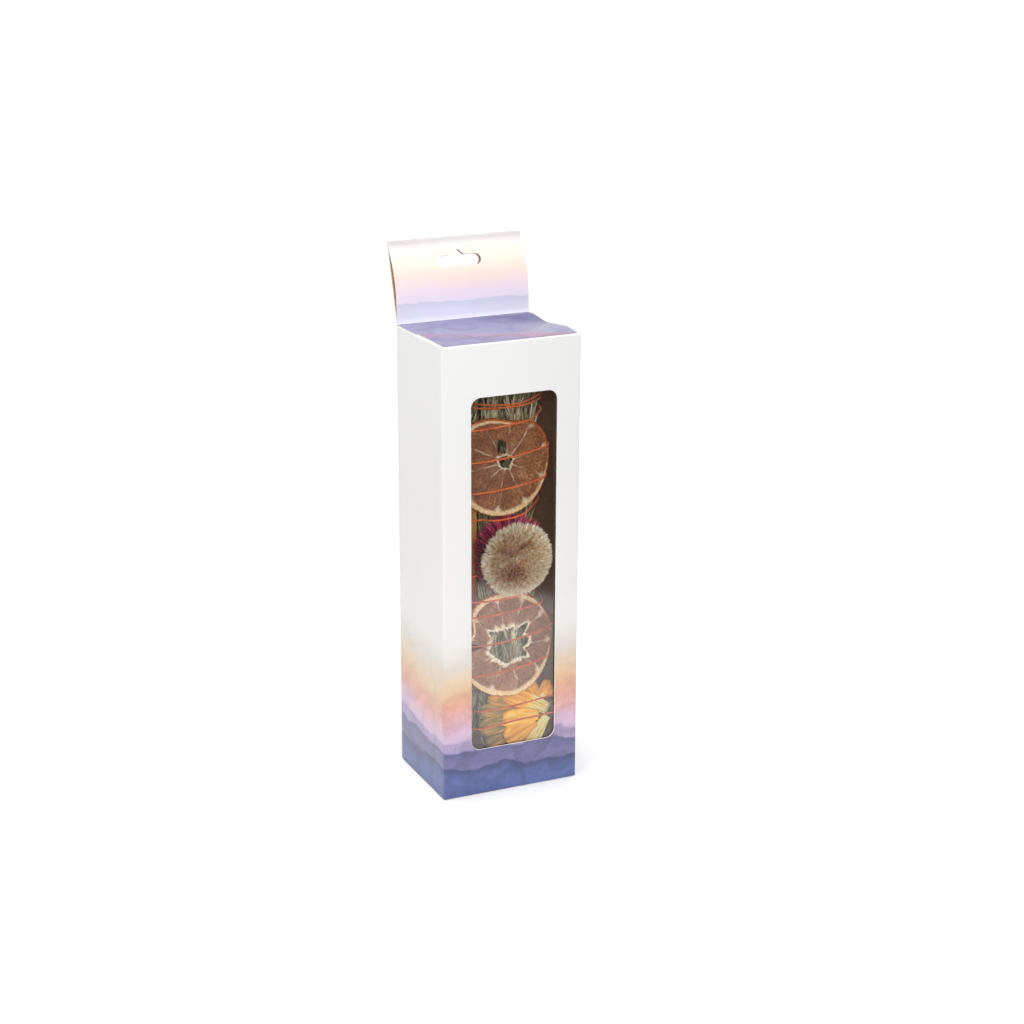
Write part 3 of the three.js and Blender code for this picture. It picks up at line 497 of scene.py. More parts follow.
def build_walls(materials):
    """Four walls in one sheet, their top edge following the lid, the window cut out, and the floor."""
    corners = rounded_outline(-HALF_WIDTH, FRONT_Y, HALF_WIDTH, BACK_Y, CORNER_RADIUS, 5)
    stations = [y * MM for y in (-24, -20, -16, -12, -8, -4, 0, 3.4, 3.6, 8, 12, 16, 20, 24)]
    plan = []
    for (x, y), (_, next_y) in zip(corners, corners[1:] + corners[:1]):
        plan.append((x, y))
        if abs(next_y - y) > 10 * MM:
            plan += [(x, station) for station in (stations if next_y > y else reversed(stations))]

    def rise(x, y):
        """How far the wall's top edge follows the lid, or drops below a dust flap's fold."""
        under_flap = abs(x) > HALF_WIDTH - 0.1 * MM and y < FLAP_BACK
        return spring(x, y) - (FLAP_FOLD if under_flap else 0)

    rows = []
    for share in (0, 0.1, 0.25, 0.5, 0.75, 0.9, 1):
        rows.append([Vector((x, y, WALL_TOP * share + rise(x, y) * share ** 6)) for x, y in plan])
    walls = board_sheet("carton_walls", rows, ["body"], materials, closed=True)
    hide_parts("carton")
    window = rounded_outline(WINDOW_CENTRE_X - WINDOW_HALF, WINDOW_LOW, WINDOW_CENTRE_X + WINDOW_HALF,
                             WINDOW_HIGH, WINDOW_RADIUS)
    facing = Matrix.Translation((0, FRONT_Y, 0)) @ Matrix(((1, 0, 0), (0, 0, -1), (0, 1, 0))).to_4x4()
    cut_out(walls, window, facing, 3 * MM)
    soften_edges(walls, 0.2 * MM)

    inset = 0.35 * MM
    floor_rows = [[Vector((x, y, 0.03 * MM)) for x in (-HALF_WIDTH + inset, HALF_WIDTH - inset)]
                  for y in (FRONT_Y + inset, BACK_Y - inset)]
    floor = board_sheet("carton_bottom", floor_rows, ["body"], materials, turned=True)
    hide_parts("carton")


def build_dust_flaps(materials):
    """Side flaps folded in under the lid. Each fold stands a little proud beside the lid's edge."""
    section = ((37.85, 238.4), (37.83, 239.0), (37.62, 239.5), (37.2, 239.75), (36.7, 239.6), (36.2, 239.15),
               (35.2, 238.85), (25.0, 238.8), (12.9, 238.75))
    front, back = -28.3, FLAP_BACK / MM
    for side in (-1, 1):
        rows = []
        for x, z in section:
            reach = max(0.0, (35.2 - x) / 22.3)
            ys = [front + 5 * reach + (back - front - 9 * reach) * i / 12 for i in range(13)]
            rows.append([Vector((side * x, y, z)) * MM + Vector((0, 0, spring(side * x * MM, y * MM)))
                         for y in ys])
        name = "dust_flap_left" if side < 0 else "dust_flap_right"
        flap = board_sheet(name, rows, ["plain"], materials, turned=side < 0)
        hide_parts("carton")


def tab_point(along, off):
    """A point on the hang tab: along its slope, and off towards its front. Y and Z only."""
    y = TAB_FOOT_Y + along * math.sin(TAB_LEAN) - off * math.cos(TAB_LEAN)
    z = TAB_FOOT_Z + along * math.cos(TAB_LEAN) + off * math.sin(TAB_LEAN)
    return y, z


def build_hang_tab(materials):
    """The back panel runs up, folds over, comes down bowed and ends in the crease strip of the lid."""
    steps = 36
    # Each place on the path is y, z and the number of its printed material
    path = [(29.12 * MM, 236 * MM, 1)]
    path += [(*tab_point(TAB_SLOPE * i / steps, 0), 1) for i in range(steps)]
    fold = 0.45 * MM
    for i in range(6):
        angle = math.pi * i / 5
        path.append((*tab_point(TAB_SLOPE - fold + fold * math.sin(angle), fold * (1 - math.cos(angle))), 0))
    for share in [i / steps for i in range(steps, 0, -1)] + [0.014, 0]:
        bow = max(TAB_BULGE * math.sin(math.pi * share), 0.75 * MM * (1 - share) + 0.9 * MM * share)
        path.append((*tab_point((TAB_SLOPE - fold) * share, bow), 0 if share else 2))
    path += [(28.2 * MM, 239.9 * MM, 2), (LID_BACK + 0.05 * MM, LID_FACE, 2)]
    xs = [TAB_LEFT + (TAB_RIGHT - TAB_LEFT) * i / 12 for i in range(13)]
    rows = [[Vector((x, y, z)) for x in xs] for y, z, _ in path]
    row_materials = [path[i + 1][2] for i in range(len(path) - 1)]
    tab = board_sheet("hang_tab", rows, ["tab", "plain", "lid"], materials, row_materials=row_materials,
                      turned=True)
    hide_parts("carton")

    # The hanging slot: a round-ended bar whose upper edge rises to a peak
    radius = SLOT_HEIGHT / 2
    half = SLOT_WIDTH / 2 - radius
    peak, top = SLOT_PEAK_WIDTH / 2, SLOT_PEAK_HEIGHT
    outline = [(half + radius * math.cos(a), radius * math.sin(a))
               for a in (math.radians(-90 + 180 * i / 10) for i in range(11))]
    rising = [(peak - (peak - 1.0 * MM) * share, radius + (top - 0.4 * MM) * share ** 2.2)
              for share in (0, 0.2, 0.4, 0.6, 0.8, 1)]
    outline += rising + [(0, radius + top)] + [(-u, v) for u, v in reversed(rising)]
    outline += [(-half + radius * math.cos(a), radius * math.sin(a))
                for a in (math.radians(90 + 180 * i / 10) for i in range(11))]
    y, z = tab_point(SLOT_ALONG, 0)
    facing = (Matrix.Translation((SLOT_X, y, z)) @ Matrix.Rotation(-TAB_LEAN, 4, "X")
              @ Matrix(((1, 0, 0), (0, 0, -1), (0, 1, 0))).to_4x4())
    cut_out(tab, outline, facing, 9 * MM)
    soften_edges(tab, 0.12 * MM)


def spring(x, y):
    """How far the tucked board pushes the lid, and what lies beside it, up or down. In metres."""
    x, y = x / MM, y / MM
    rise = 1.15 * smoothstep(24, -27, y)
    wave = 0.8 * math.exp(-((y + 16) / 7) ** 2) - 1.3 * math.exp(-((y - 9) / 10) ** 2)
    rise += wave * smoothstep(6, 30, x)
    rise -= 0.35 * math.exp(-((x + 5) / 18) ** 2) * smoothstep(26, 5, y) * smoothstep(-27, -10, y)
    return rise * MM


def build_lid(materials):
    """The top panel and its tuck flap, one sheet with a soft fold, sprung up a little at the front right."""
    tilt = math.radians(TUCK_TILT)
    top_rows, fold_rows, tuck_rows = 24, 6, 6
    back, front, fold = LID_BACK / MM, -27.5, 0.85
    face, tuck = LID_FACE / MM, TUCK_LENGTH / MM
    path = [(back + (front - back) * i / top_rows, face) for i in range(top_rows + 1)]
    path += [(front - fold * math.sin(math.radians(a)), face - fold + fold * math.cos(math.radians(a)))
             for a in (15, 30, 45, 60, 75, 90 - TUCK_TILT)]
    start_y, start_z = path[-1]
    for i in range(1, tuck_rows + 1):
        down = tuck * i / tuck_rows
        path.append((start_y + down * math.sin(tilt), start_z - down * math.cos(tilt)))
    rows = []
    for index, (y, z) in enumerate(path):
        row = []
        for i in range(29):
            left = -36.5 if y < 3.7 else -37.4
            right = 36.9
            if index > top_rows + fold_rows:
                corner = max(0.0, index - 33) * 1.3
                left, right = -32.6 + corner, 32.6 - corner
            x = left + (right - left) * i / 28
            row.append(Vector((x, y, z)) * MM + Vector((0, 0, spring(x * MM, y * MM))))
        rows.append(row)
    row_materials = [0 if i < top_rows + 3 else 1 for i in range(len(path) - 1)]
    lid = board_sheet("lid_and_tuck", rows, ["lid", "plain"], materials, body="lid",
                      row_materials=row_materials, turned=True)
    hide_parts("lid")


def build_film():
    """Thin film glued round the window's edge, buckled a little between."""
    low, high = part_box("window_film")
    up, across = 40, 14
    points = []
    for r in range(up + 1):
        z = low[2] + (high[2] - low[2]) * r / up
        for i in range(across + 1):
            x = low[0] + (high[0] - low[0]) * i / across
            inside = min(i / 3, (across - i) / 3, r / 4, (up - r) / 4, 1)
            wave = noise.noise(Vector((x * 38, z * 22, 3.1))) * 0.35 + 0.09 * math.sin(z * 41 + x * 60)
            points.append(Vector((x, low[1] + (0.1 + inside * (0.25 + wave * 0.5)) * MM, z)))
    count = across + 1
    faces = [(r * count + i, r * count + i + 1, (r + 1) * count + i + 1, (r + 1) * count + i)
             for r in range(up) for i in range(across)]
    film = make_object("film_sheet", points, faces, [window_film_material()], "carton")
    solid = film.modifiers.new("thickness", "SOLIDIFY")
    solid.thickness = FILM_THICKNESS
    solid.offset = -1
    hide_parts("window_film")


# Materials of the stick

def tinted_plant(name, stops, roughness, mottle_size, depth, sheen=0.0, translucent=0.0):
    """Dry fibre: colour by each point's own tint, broken up by mottling. Size and depth in millimetres."""
    material, tree, shader, place = new_material(name)
    tint = add_node(tree, "ShaderNodeAttribute", attribute_name="tint").outputs["Fac"]
    mottle = add_node(tree, "ShaderNodeTexNoise", {
        "Vector": place, "Scale": 1 / (mottle_size * MM), "Detail": 5, "Roughness": 0.65,
    }).outputs["Fac"]
    spread = add_node(tree, "ShaderNodeMath", {0: mottle, 1: -0.5}, operation="ADD").outputs[0]
    factor = add_node(tree, "ShaderNodeMath", {
        0: spread, 1: 0.35, 2: tint,
    }, operation="MULTIPLY_ADD").outputs[0]
    colour = add_node(tree, "ShaderNodeValToRGB", {"Fac": factor}, stops=stops).outputs["Color"]
    tree.links.new(colour, shader.inputs["Base Color"])
    bump = add_node(tree, "ShaderNodeBump", {"Height": mottle, "Strength": 0.4, "Distance": depth * MM})
    tree.links.new(bump.outputs[0], shader.inputs["Normal"])
    set_values(shader, Roughness=roughness, IOR=1.45, Sheen_Weight=sheen, Sheen_Roughness=0.4)
    if translucent:
        glow = add_node(tree, "ShaderNodeBsdfTranslucent", {"Color": colour, "Normal": bump.outputs[0]})
        mix = add_node(tree, "ShaderNodeMixShader", {
            0: translucent, 1: shader.outputs[0], 2: glow.outputs[0],
        })
        tree.links.new(mix.outputs[0], tree.nodes["Material Output"].inputs["Surface"])
    return material


def needle_material():
    """Dried rosemary leaf: matt grey-green going to straw."""
    return tinted_plant("rosemary_needle", (
        (0.05, "#54493a"), (0.25, "#877d60"), (0.5, "#bfb38c"), (0.72, "#ecdfb9"), (0.95, "#fff6df"),
    ), 0.6, 1.11, 0.2, 0.15)


def bark_material():
    """Rosemary stem: rough brown bark."""
    return tinted_plant("rosemary_bark", (
        (0.2, "#4a3a2b"), (0.55, "#75614a"), (0.85, "#9a8566"),
    ), 0.85, 1.43, 0.4)


def floret_material():
    """Dry disc florets: a fluffy buff nap, rust brown low down."""
    return tinted_plant("dry_buff_floret", (
        (0.0, "#5e2f13"), (0.2, "#b0602a"), (0.34, "#c78a4c"), (0.52, "#cdb18a"), (0.76, "#e6d9bc"),
        (1.0, "#fffaec"),
    ), 0.8, 1.25, 0.2, 0.4)


def bract_material():
    """Papery magenta bracts that let a little light through."""
    return tinted_plant("magenta_bract", (
        (0.0, "#2c0c18"), (0.25, "#661534"), (0.5, "#a62350"), (0.75, "#c8395f"), (1.0, "#e07f9e"),
    ), 0.55, 1.25, 0.2, 0.2, 0.15)


def petal_material():
    """Dried marigold petal: thin, matt, olive through orange to pale yellow."""
    return tinted_plant("marigold_petal", (
        (0.0, "#6b5c30"), (0.15, "#a98c46"), (0.28, "#d99427"), (0.45, "#fba817"), (0.62, "#ffcb30"),
        (0.8, "#f3e27a"), (1.0, "#fdf8c6"),
    ), 0.7, 2.0, 0.2, 0.0, 0.2)


def calyx_material():
    """Dry grey-green cup of the marigold."""
    return tinted_plant("dry_green_calyx", (
        (0.0, "#85806a"), (0.5, "#aaa38e"), (1.0, "#cdc6b4"),
    ), 0.8, 1.67, 0.3)


def cotton_material():
    """Dyed cotton: orange, its fibres catching a soft sheen."""
    return tinted_plant("orange_cotton", (
        (0.05, "#a5381c"), (0.25, "#c24a1a"), (0.5, "#ea6a2a"), (0.9, "#f79354"),
    ), 0.75, 0.286, 0.1, 0.3)


def dried_orange_material():
    """Dried orange: glassy brown flesh with radial pulp, pale papery membranes, cream pith, orange peel."""
    material, tree, shader, place = new_material("dried_orange")
    pale, rim, peel, pulp = (
        add_node(tree, "ShaderNodeAttribute", attribute_name=name).outputs["Fac"]
        for name in ("membrane", "pith", "peel", "pulp")
    )
    speckle = add_node(tree, "ShaderNodeTexNoise", {
        "Vector": place, "Scale": 1 / (1.176 * MM), "Detail": 6, "Roughness": 0.72,
    }).outputs["Fac"]
    mixed = add_node(tree, "ShaderNodeMath", {
        0: speckle, 1: 0.5, 2: pulp,
    }, operation="MULTIPLY_ADD").outputs[0]
    flesh, skin, pith, rind = (
        add_node(tree, "ShaderNodeValToRGB", {"Fac": factor}, stops=stops).outputs["Color"]
        for factor, stops in (
            (mixed, ((0.2, "#3d1e13"), (0.42, "#6b3d27"), (0.6, "#8d583b"), (0.76, "#a97950"),
                     (0.94, "#dcbf95"))),
            (speckle, ((0.3, "#cfb38d"), (0.5, "#f0e1c4"), (0.68, "#fff9ea"))),
            (speckle, ((0.3, "#c08a55"), (0.48, "#e0bd8d"), (0.72, "#f6e5c4"))),
            (speckle, ((0.35, "#5f2a17"), (0.47, "#9c4c24"), (0.56, "#c8702f"), (0.7, "#e0a05c"))),
        )
    )
    # Membranes over the flesh, the pith over both, the peel over all
    colour = flesh
    for share, cover in ((pale, skin), (rim, pith), (peel, rind)):
        colour = add_node(tree, "ShaderNodeMix", {
            0: share, 6: colour, 7: cover,
        }, data_type="RGBA").outputs[2]
    tree.links.new(colour, shader.inputs["Base Color"])
    bump = add_node(tree, "ShaderNodeBump", {"Height": mixed, "Strength": 0.5, "Distance": 0.4 * MM})
    tree.links.new(bump.outputs[0], shader.inputs["Normal"])
    set_values(shader, Roughness=0.45, IOR=1.45, Coat_Weight=0.25, Coat_Roughness=0.2)
    return material


def wood_material():
    """Split palo santo: honey-tan wood, darker resinous lines and fibre along its length, painted shade low
    down.
    """
    material, tree, shader, place = new_material("split_palo_santo")
    stretched = add_node(tree, "ShaderNodeMapping", {"Vector": place, "Scale": (1.0, 1.0, 0.06)}).outputs[0]
    grain = add_node(tree, "ShaderNodeTexNoise", {
        "Vector": stretched, "Scale": 1 / (1.11 * MM), "Detail": 7, "Roughness": 0.6, "Distortion": 0.4,
    }).outputs["Fac"]
    colour = add_node(tree, "ShaderNodeValToRGB", {"Fac": grain}, stops=(
        (0.28, "#7d4f25"), (0.42, "#b07c42"), (0.56, "#cf9f62"), (0.75, "#e3bd84"),
    )).outputs["Color"]
    # Painted shade: below 150 mm the wood turns darker and redder, fully so below 115 mm
    height = add_node(tree, "ShaderNodeSeparateXYZ", {0: place}).outputs["Z"]
    upper = add_node(tree, "ShaderNodeMapRange", {
        "Value": height, "From Min": 115 * MM, "From Max": 150 * MM,
    }).outputs["Result"]
    shade_below = add_node(tree, "ShaderNodeValToRGB", {"Fac": upper}, stops=(
        (0.0, "#b0683c"), (1.0, "#fffaf0"),
    )).outputs["Color"]
    colour = add_node(tree, "ShaderNodeMix", {0: 1.0, 6: colour, 7: shade_below}, data_type="RGBA",
                      blend_type="MULTIPLY").outputs[2]
    tree.links.new(colour, shader.inputs["Base Color"])
    bump = add_node(tree, "ShaderNodeBump", {"Height": grain, "Strength": 0.7, "Distance": 0.5 * MM})
    tree.links.new(bump.outputs[0], shader.inputs["Normal"])
    set_values(shader, Roughness=0.7, IOR=1.5)
    return material


# Rosemary

def bow(z):
    """How far the stick's middle lies behind its upright line at a height."""
    behind_flower = 6.5 * MM * math.exp(-((z / MM - 124) / 30) ** 2)
    return behind_flower + 4 * MM * (1 - smoothstep(35 * MM, 65 * MM, z))


def sprig_places():
    """Where each sprig stands: x, y, radius and top. One in the middle, six round it, one in front."""
    places = [(STICK.x, STICK.y, SPRIG_RADIUS, 206 * MM)]
    for degrees, top in zip(RING_DEGREES, SPRIG_TOPS):
        angle = math.radians(degrees)
        places.append((STICK.x + RING_X * math.sin(angle), STICK.y - RING_Y * math.cos(angle),
                       SPRIG_RADIUS, top * MM))
    places.append((STICK.x - 9.5 * MM, STICK.y - 12 * MM, 4.8 * MM, 196 * MM))
    return places


class MeshParts:
    """Gathers points, faces and one tint for each point, for one object."""

    def __init__(self):
        self.points, self.faces, self.tints = [], [], []

    def rings(self, rings, tints, cap=True):
        """A skin over rings of points, closed at both ends, with a tint for each ring or point."""
        first = len(self.points)
        count = len(rings[0])
        for ring, tint in zip(rings, tints):
            self.points.extend(ring)
            self.tints.extend(tint if isinstance(tint, (list, tuple)) else [tint] * count)
        for r in range(len(rings) - 1):
            for i in range(count):
                a, b = first + r * count + i, first + r * count + (i + 1) % count
                self.faces.append((a, b, b + count, a + count))
        if cap:
            last = first + (len(rings) - 1) * count
            self.faces.append(tuple(first + i for i in reversed(range(count))))
            self.faces.append(tuple(last + i for i in range(count)))

    def build(self, name, materials, sharp=60):
        """The object made of all that was gathered."""
        obj = make_object(name, self.points, self.faces, materials, "carton", sharp=sharp)
        give_values(obj, "tint", self.tints)
        return obj


def add_needle(parts, root, tip, outward, width, draw):
    """A narrow leaf that leaves the stem outwards and turns up, its edges rolled under."""
    bend = root.lerp(tip, 0.35) + outward * (tip - root).length * draw.uniform(0.05, 0.12)
    base_tint = draw.uniform(0.1, 0.85)
    rings, tints = [], []
    for share, size in ((0.0, 0.45), (0.3, 1.0), (0.65, 0.95), (0.9, 0.6), (1.0, 0.12)):
        middle = root.lerp(bend, share).lerp(bend.lerp(tip, share), share)
        along = (bend.lerp(tip, share) - root.lerp(bend, share)).normalized()
        side = along.cross(outward).normalized()
        up = side.cross(along)
        half = width * size / 2
        ring = [middle + side * half - up * half * 0.35, middle + side * half * 0.7 + up * half * 0.4,
                middle + up * half * 0.15, middle - side * half * 0.7 + up * half * 0.4,
                middle - side * half - up * half * 0.35, middle - up * half * 0.1]
        rings.append(ring)
        shade = base_tint - 0.12 * (1 - share)
        tints.append([shade + 0.2, shade, shade - 0.1, shade, shade + 0.2, shade + 0.32])
    parts.rings(rings, tints)


def build_sprig(number, place, materials):
    """A sprig: pairs of leaf tufts up a woody stem, each pair a quarter turn from the last."""
    x, y, radius, top = place
    draw = random.Random(500 + number)
    parts = MeshParts()

    def centre(z):
        return Vector((x, y + bow(z), z))

    tuft = ((0, 1.0), (0.45, 0.8), (-0.45, 0.85), (0.15, 0.55), (-0.8, 0.65), (0.9, 0.6))
    z = STICK_FOOT + 15 * MM
    node = 0
    while z < top:
        for leaf in range(2):
            turn = node * math.pi / 2 + leaf * math.pi + number + draw.uniform(-0.35, 0.35)
            for aside, size in tuft:
                angle = turn + aside + draw.uniform(-0.15, 0.15)
                length = NEEDLE_LENGTH * size * draw.uniform(0.75, 1.0)
                outward = Vector((math.cos(angle), math.sin(angle), 0))
                reach = min(radius * draw.uniform(0.55, 0.95), length * 0.6)
                across = Vector((-outward.y, outward.x, 0)) * draw.uniform(-0.45, 0.45) * radius
                rise = math.sqrt(length * length - reach * reach - across.length_squared)
                tip = centre(z + rise) + outward * reach + across
                root = centre(z) + outward * 0.9 * MM
                add_needle(parts, root, tip, outward, NEEDLE_WIDTH * draw.uniform(0.75, 1.05), draw)
        z += NODE_STEP * draw.uniform(0.85, 1.15)
        node += 1
    leaves = parts.build(f"rosemary_leaves_{number + 1}", [materials["needle"]])
    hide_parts(f"rosemary_sprig_{number + 1}")

    stem = MeshParts()
    rings, tints = [], []
    for i in range(25):
        height = STICK_FOOT + (top - STICK_FOOT) * i / 24
        thickness = (1.55 - 0.85 * i / 24) * MM
        rings.append([centre(height) + Vector((math.cos(a), math.sin(a), 0)) * thickness
                      * (1 + 0.12 * noise.noise(Vector((a, height * 90, number))))
                      for a in (2 * math.pi * k / 9 for k in range(9))])
        tints.append(0.5 + 0.4 * noise.noise(Vector((number, height * 60, 0))))
    stem.rings(rings, tints)
    bark = stem.build(f"rosemary_stem_{number + 1}", [materials["bark"]])
    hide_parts(f"rosemary_sprig_{number + 1}")


# Dried orange slices

def dent_at(dent, angle):
    """1 at a dent's or spike's middle, fading to 0 beside it."""
    middle, spread, _ = dent
    away = math.remainder(angle - math.radians(middle), 2 * math.pi)
    return math.exp(-(away / math.radians(spread)) ** 2)


def slice_spread(part, angle):
    """How much of its radius a slice keeps at an angle."""
    return 1 - sum(dent[2] * dent_at(dent, angle) for dent in part["dents"])


def slice_depth(part, u, v, angle):
    """How far back a slice lies at a place, in millimetres: bent round the bundle and curled at its rim."""
    reach = math.hypot(u, v) / part["radius"]
    curl = part["curl"] * dent_at(part["dents"][0], angle) * reach ** 3
    return u * u / (2 * SLICE_BEND) + part["tilt"] * v + part["cup"] * v * max(v, 0) + curl


def build_slice(name, part, material, seed):
    """A wheel of dried flesh between membranes, torn at its middle, with a thick rim of pith and peel."""
    turns, steps = SLICE_TURNS, SLICE_STEPS
    radius = part["radius"]
    centre = Vector(part["centre"])
    sweep = 2 * math.pi / SLICE_SEGMENTS
    slit_degrees, slit_low, slit_high = part["slit"]

    def rough(*place):
        """Smooth noise at a place of one or two numbers, from -1 to 1, its own for each slice."""
        return noise.noise(Vector(place + (0,) * (2 - len(place)) + (seed,)))

    def hole_at(angle):
        """The torn hole's radius at an angle."""
        place = (math.cos(angle), math.sin(angle))
        ragged = 1.6 * rough(place[0] * 2.6, place[1] * 2.6 + 5) + 1.2 * rough(place[0] * 9, place[1] * 9)
        torn = sum(spike[2] * dent_at(spike, angle) for spike in part["spikes"])
        base = part["hole"] * (1 + part["squash"] * math.cos(2 * angle) + 0.1 * ragged)
        return base + torn + 0.25 * rough(angle * 15, 5)

    def nearest_membrane(angle, r):
        """Distance to the nearest membrane, its number and its half width, in millimetres."""
        best = (99.0, 0, 1.0)
        for number in range(SLICE_SEGMENTS):
            at = math.radians(part["turn"]) + number * sweep + 0.13 * rough(number * 3.1, 9)
            at += 0.09 * rough(number * 5.3, r * 0.16)
            off = abs(math.remainder(angle - at, 2 * math.pi)) * r
            if off < best[0]:
                at_rim = smoothstep(radius - 7.5, radius - 3.2, r)
                best = (off, number, 0.3 + 0.12 * rough(r * 0.4, number) + 1.3 * at_rim ** 2)
        return best

    points, faces = [], []
    values = {"membrane": [], "pith": [], "peel": [], "pulp": []}
    for face in (-1, 1):
        for step in range(steps + 1):
            for turn in range(turns):
                angle = 2 * math.pi * turn / turns
                inner = hole_at(angle)
                r = inner + (radius - inner) * step / steps
                off, number, wide = nearest_membrane(angle, r)
                shape = math.exp(-(off / wide) ** 2)
                at_rim = smoothstep(radius - 8, radius - 3.5, r)
                near_hole = 1 - smoothstep(2, 9, r - inner)
                strength = 0.3 + 1.1 * rough(r * 0.22, number * 4.7) + 0.3 * at_rim + 0.3 * near_hole
                membrane = shape * min(max(strength, 0.08), 0.72)
                reach = part["fringe"] * (1 + 1.1 * rough(angle * 3.5, 7))
                torn = 1 - smoothstep(reach * 0.55, reach + 0.25, r - inner)
                top_curl = dent_at(part["dents"][0], angle) * part["curl"] / 2.4
                bare = dent_at((*part["bare"], 0), angle)
                right, up = math.cos(angle), math.sin(angle)
                pith_edge = radius - (2.8 + 1.4 * top_curl) * (1 - 0.8 * bare) + 0.3 * rough(angle * 9, 5)
                pith_edge -= 0.7 * rough(right * 2, up * 2)
                pith = smoothstep(pith_edge - 0.8, pith_edge + 0.15, r)
                peel_edge = radius - 0.8 - 1.4 * top_curl - 1.1 * bare
                peel_edge += 0.5 * rough(right * 3, up * 3 + 7) + 0.5 * rough(angle * 14, 2)
                peel = smoothstep(peel_edge - 0.25, peel_edge + 0.2, r)
                cells = rough(angle * 34, r * 0.33)
                sag = 0.5 + 0.5 * rough(r * 0.14, angle * 2.4)
                half = 0.3 + 0.6 * shape + 0.2 * cells
                half = half * (1 - pith) + (1.2 + 0.22 * rough(angle * 11, r)) * pith
                half = max(half, 0.16) * max(math.sqrt(1 - smoothstep(radius - 1.1, radius, r) ** 2), 0.05)
                half = half * (1 - torn) + 0.35 * torn * (1 + 0.8 * rough(angle * 12, r * 1.5))
                half *= 0.3 + 0.7 * smoothstep(-0.1, 0.8, r - inner)
                shrunk = r * (1 - (1 - slice_spread(part, angle)) * r / radius)
                u, v = shrunk * right, shrunk * up
                depth = slice_depth(part, u, v, angle) + 0.35 * sag * (1 - pith) * (1 - shape)
                depth -= torn * (0.5 + 0.9 * rough(angle * 4, 8)) * part["fringe"] * 0.6
                points.append((centre + Vector((u, depth + face * half, v))) * MM)
                fringe = torn * (0.8 + 0.5 * rough(angle * 9, r))
                values["membrane"].append(min(1.0, max(membrane, fringe)))
                values["pith"].append(pith)
                values["peel"].append(peel)
                pulp = 0.33 + 0.16 * cells + 0.3 * (sag - 0.5) + 0.2 * rough(u * 0.9, v * 0.9)
                # Painted light and shade: the flesh is lighter to the right and darker to the left, by the
                # slice's shade
                values["pulp"].append(pulp + part["shade"] * u / radius)

    def index(face, step, turn):
        return (face * (steps + 1) + step) * turns + turn % turns

    def in_slit(angle, r):
        """Whether a place lies in the tear between two membranes."""
        if not slit_low < r < slit_high:
            return False
        wide = part["slit_width"] * math.sqrt(math.sin(math.pi * (r - slit_low) / (slit_high - slit_low)))
        away = math.remainder(angle - math.radians(slit_degrees), 2 * math.pi) * r
        return abs(away + 0.8 * rough(r * 0.5, 3)) < wide

    kept = set()
    for step in range(steps):
        for turn in range(turns):
            angle = 2 * math.pi * (turn + 0.5) / turns
            inner = hole_at(angle)
            if not in_slit(angle, inner + (radius - inner) * (step + 0.5) / steps):
                kept.add((step, turn))
    for step, turn in sorted(kept):
        a, b, c, d = (index(0, step, turn), index(0, step, turn + 1), index(0, step + 1, turn + 1),
                      index(0, step + 1, turn))
        e, f, g, h = (i + (steps + 1) * turns for i in (a, b, c, d))
        faces += [(a, d, c, b), (e, f, g, h)]
        for near, (i, j, k, m) in (
            ((step - 1, turn), (a, b, f, e)), ((step + 1, turn), (c, d, h, g)),
            ((step, (turn - 1) % turns), (d, a, e, h)), ((step, (turn + 1) % turns), (b, c, g, f)),
        ):
            if near not in kept:
                faces.append((i, j, k, m))
    obj = make_object(f"{name}_fruit", points, faces, [material], "carton", sharp=80)
    for key, numbers in values.items():
        give_values(obj, key, numbers)
    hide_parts(name)


# Strawflower

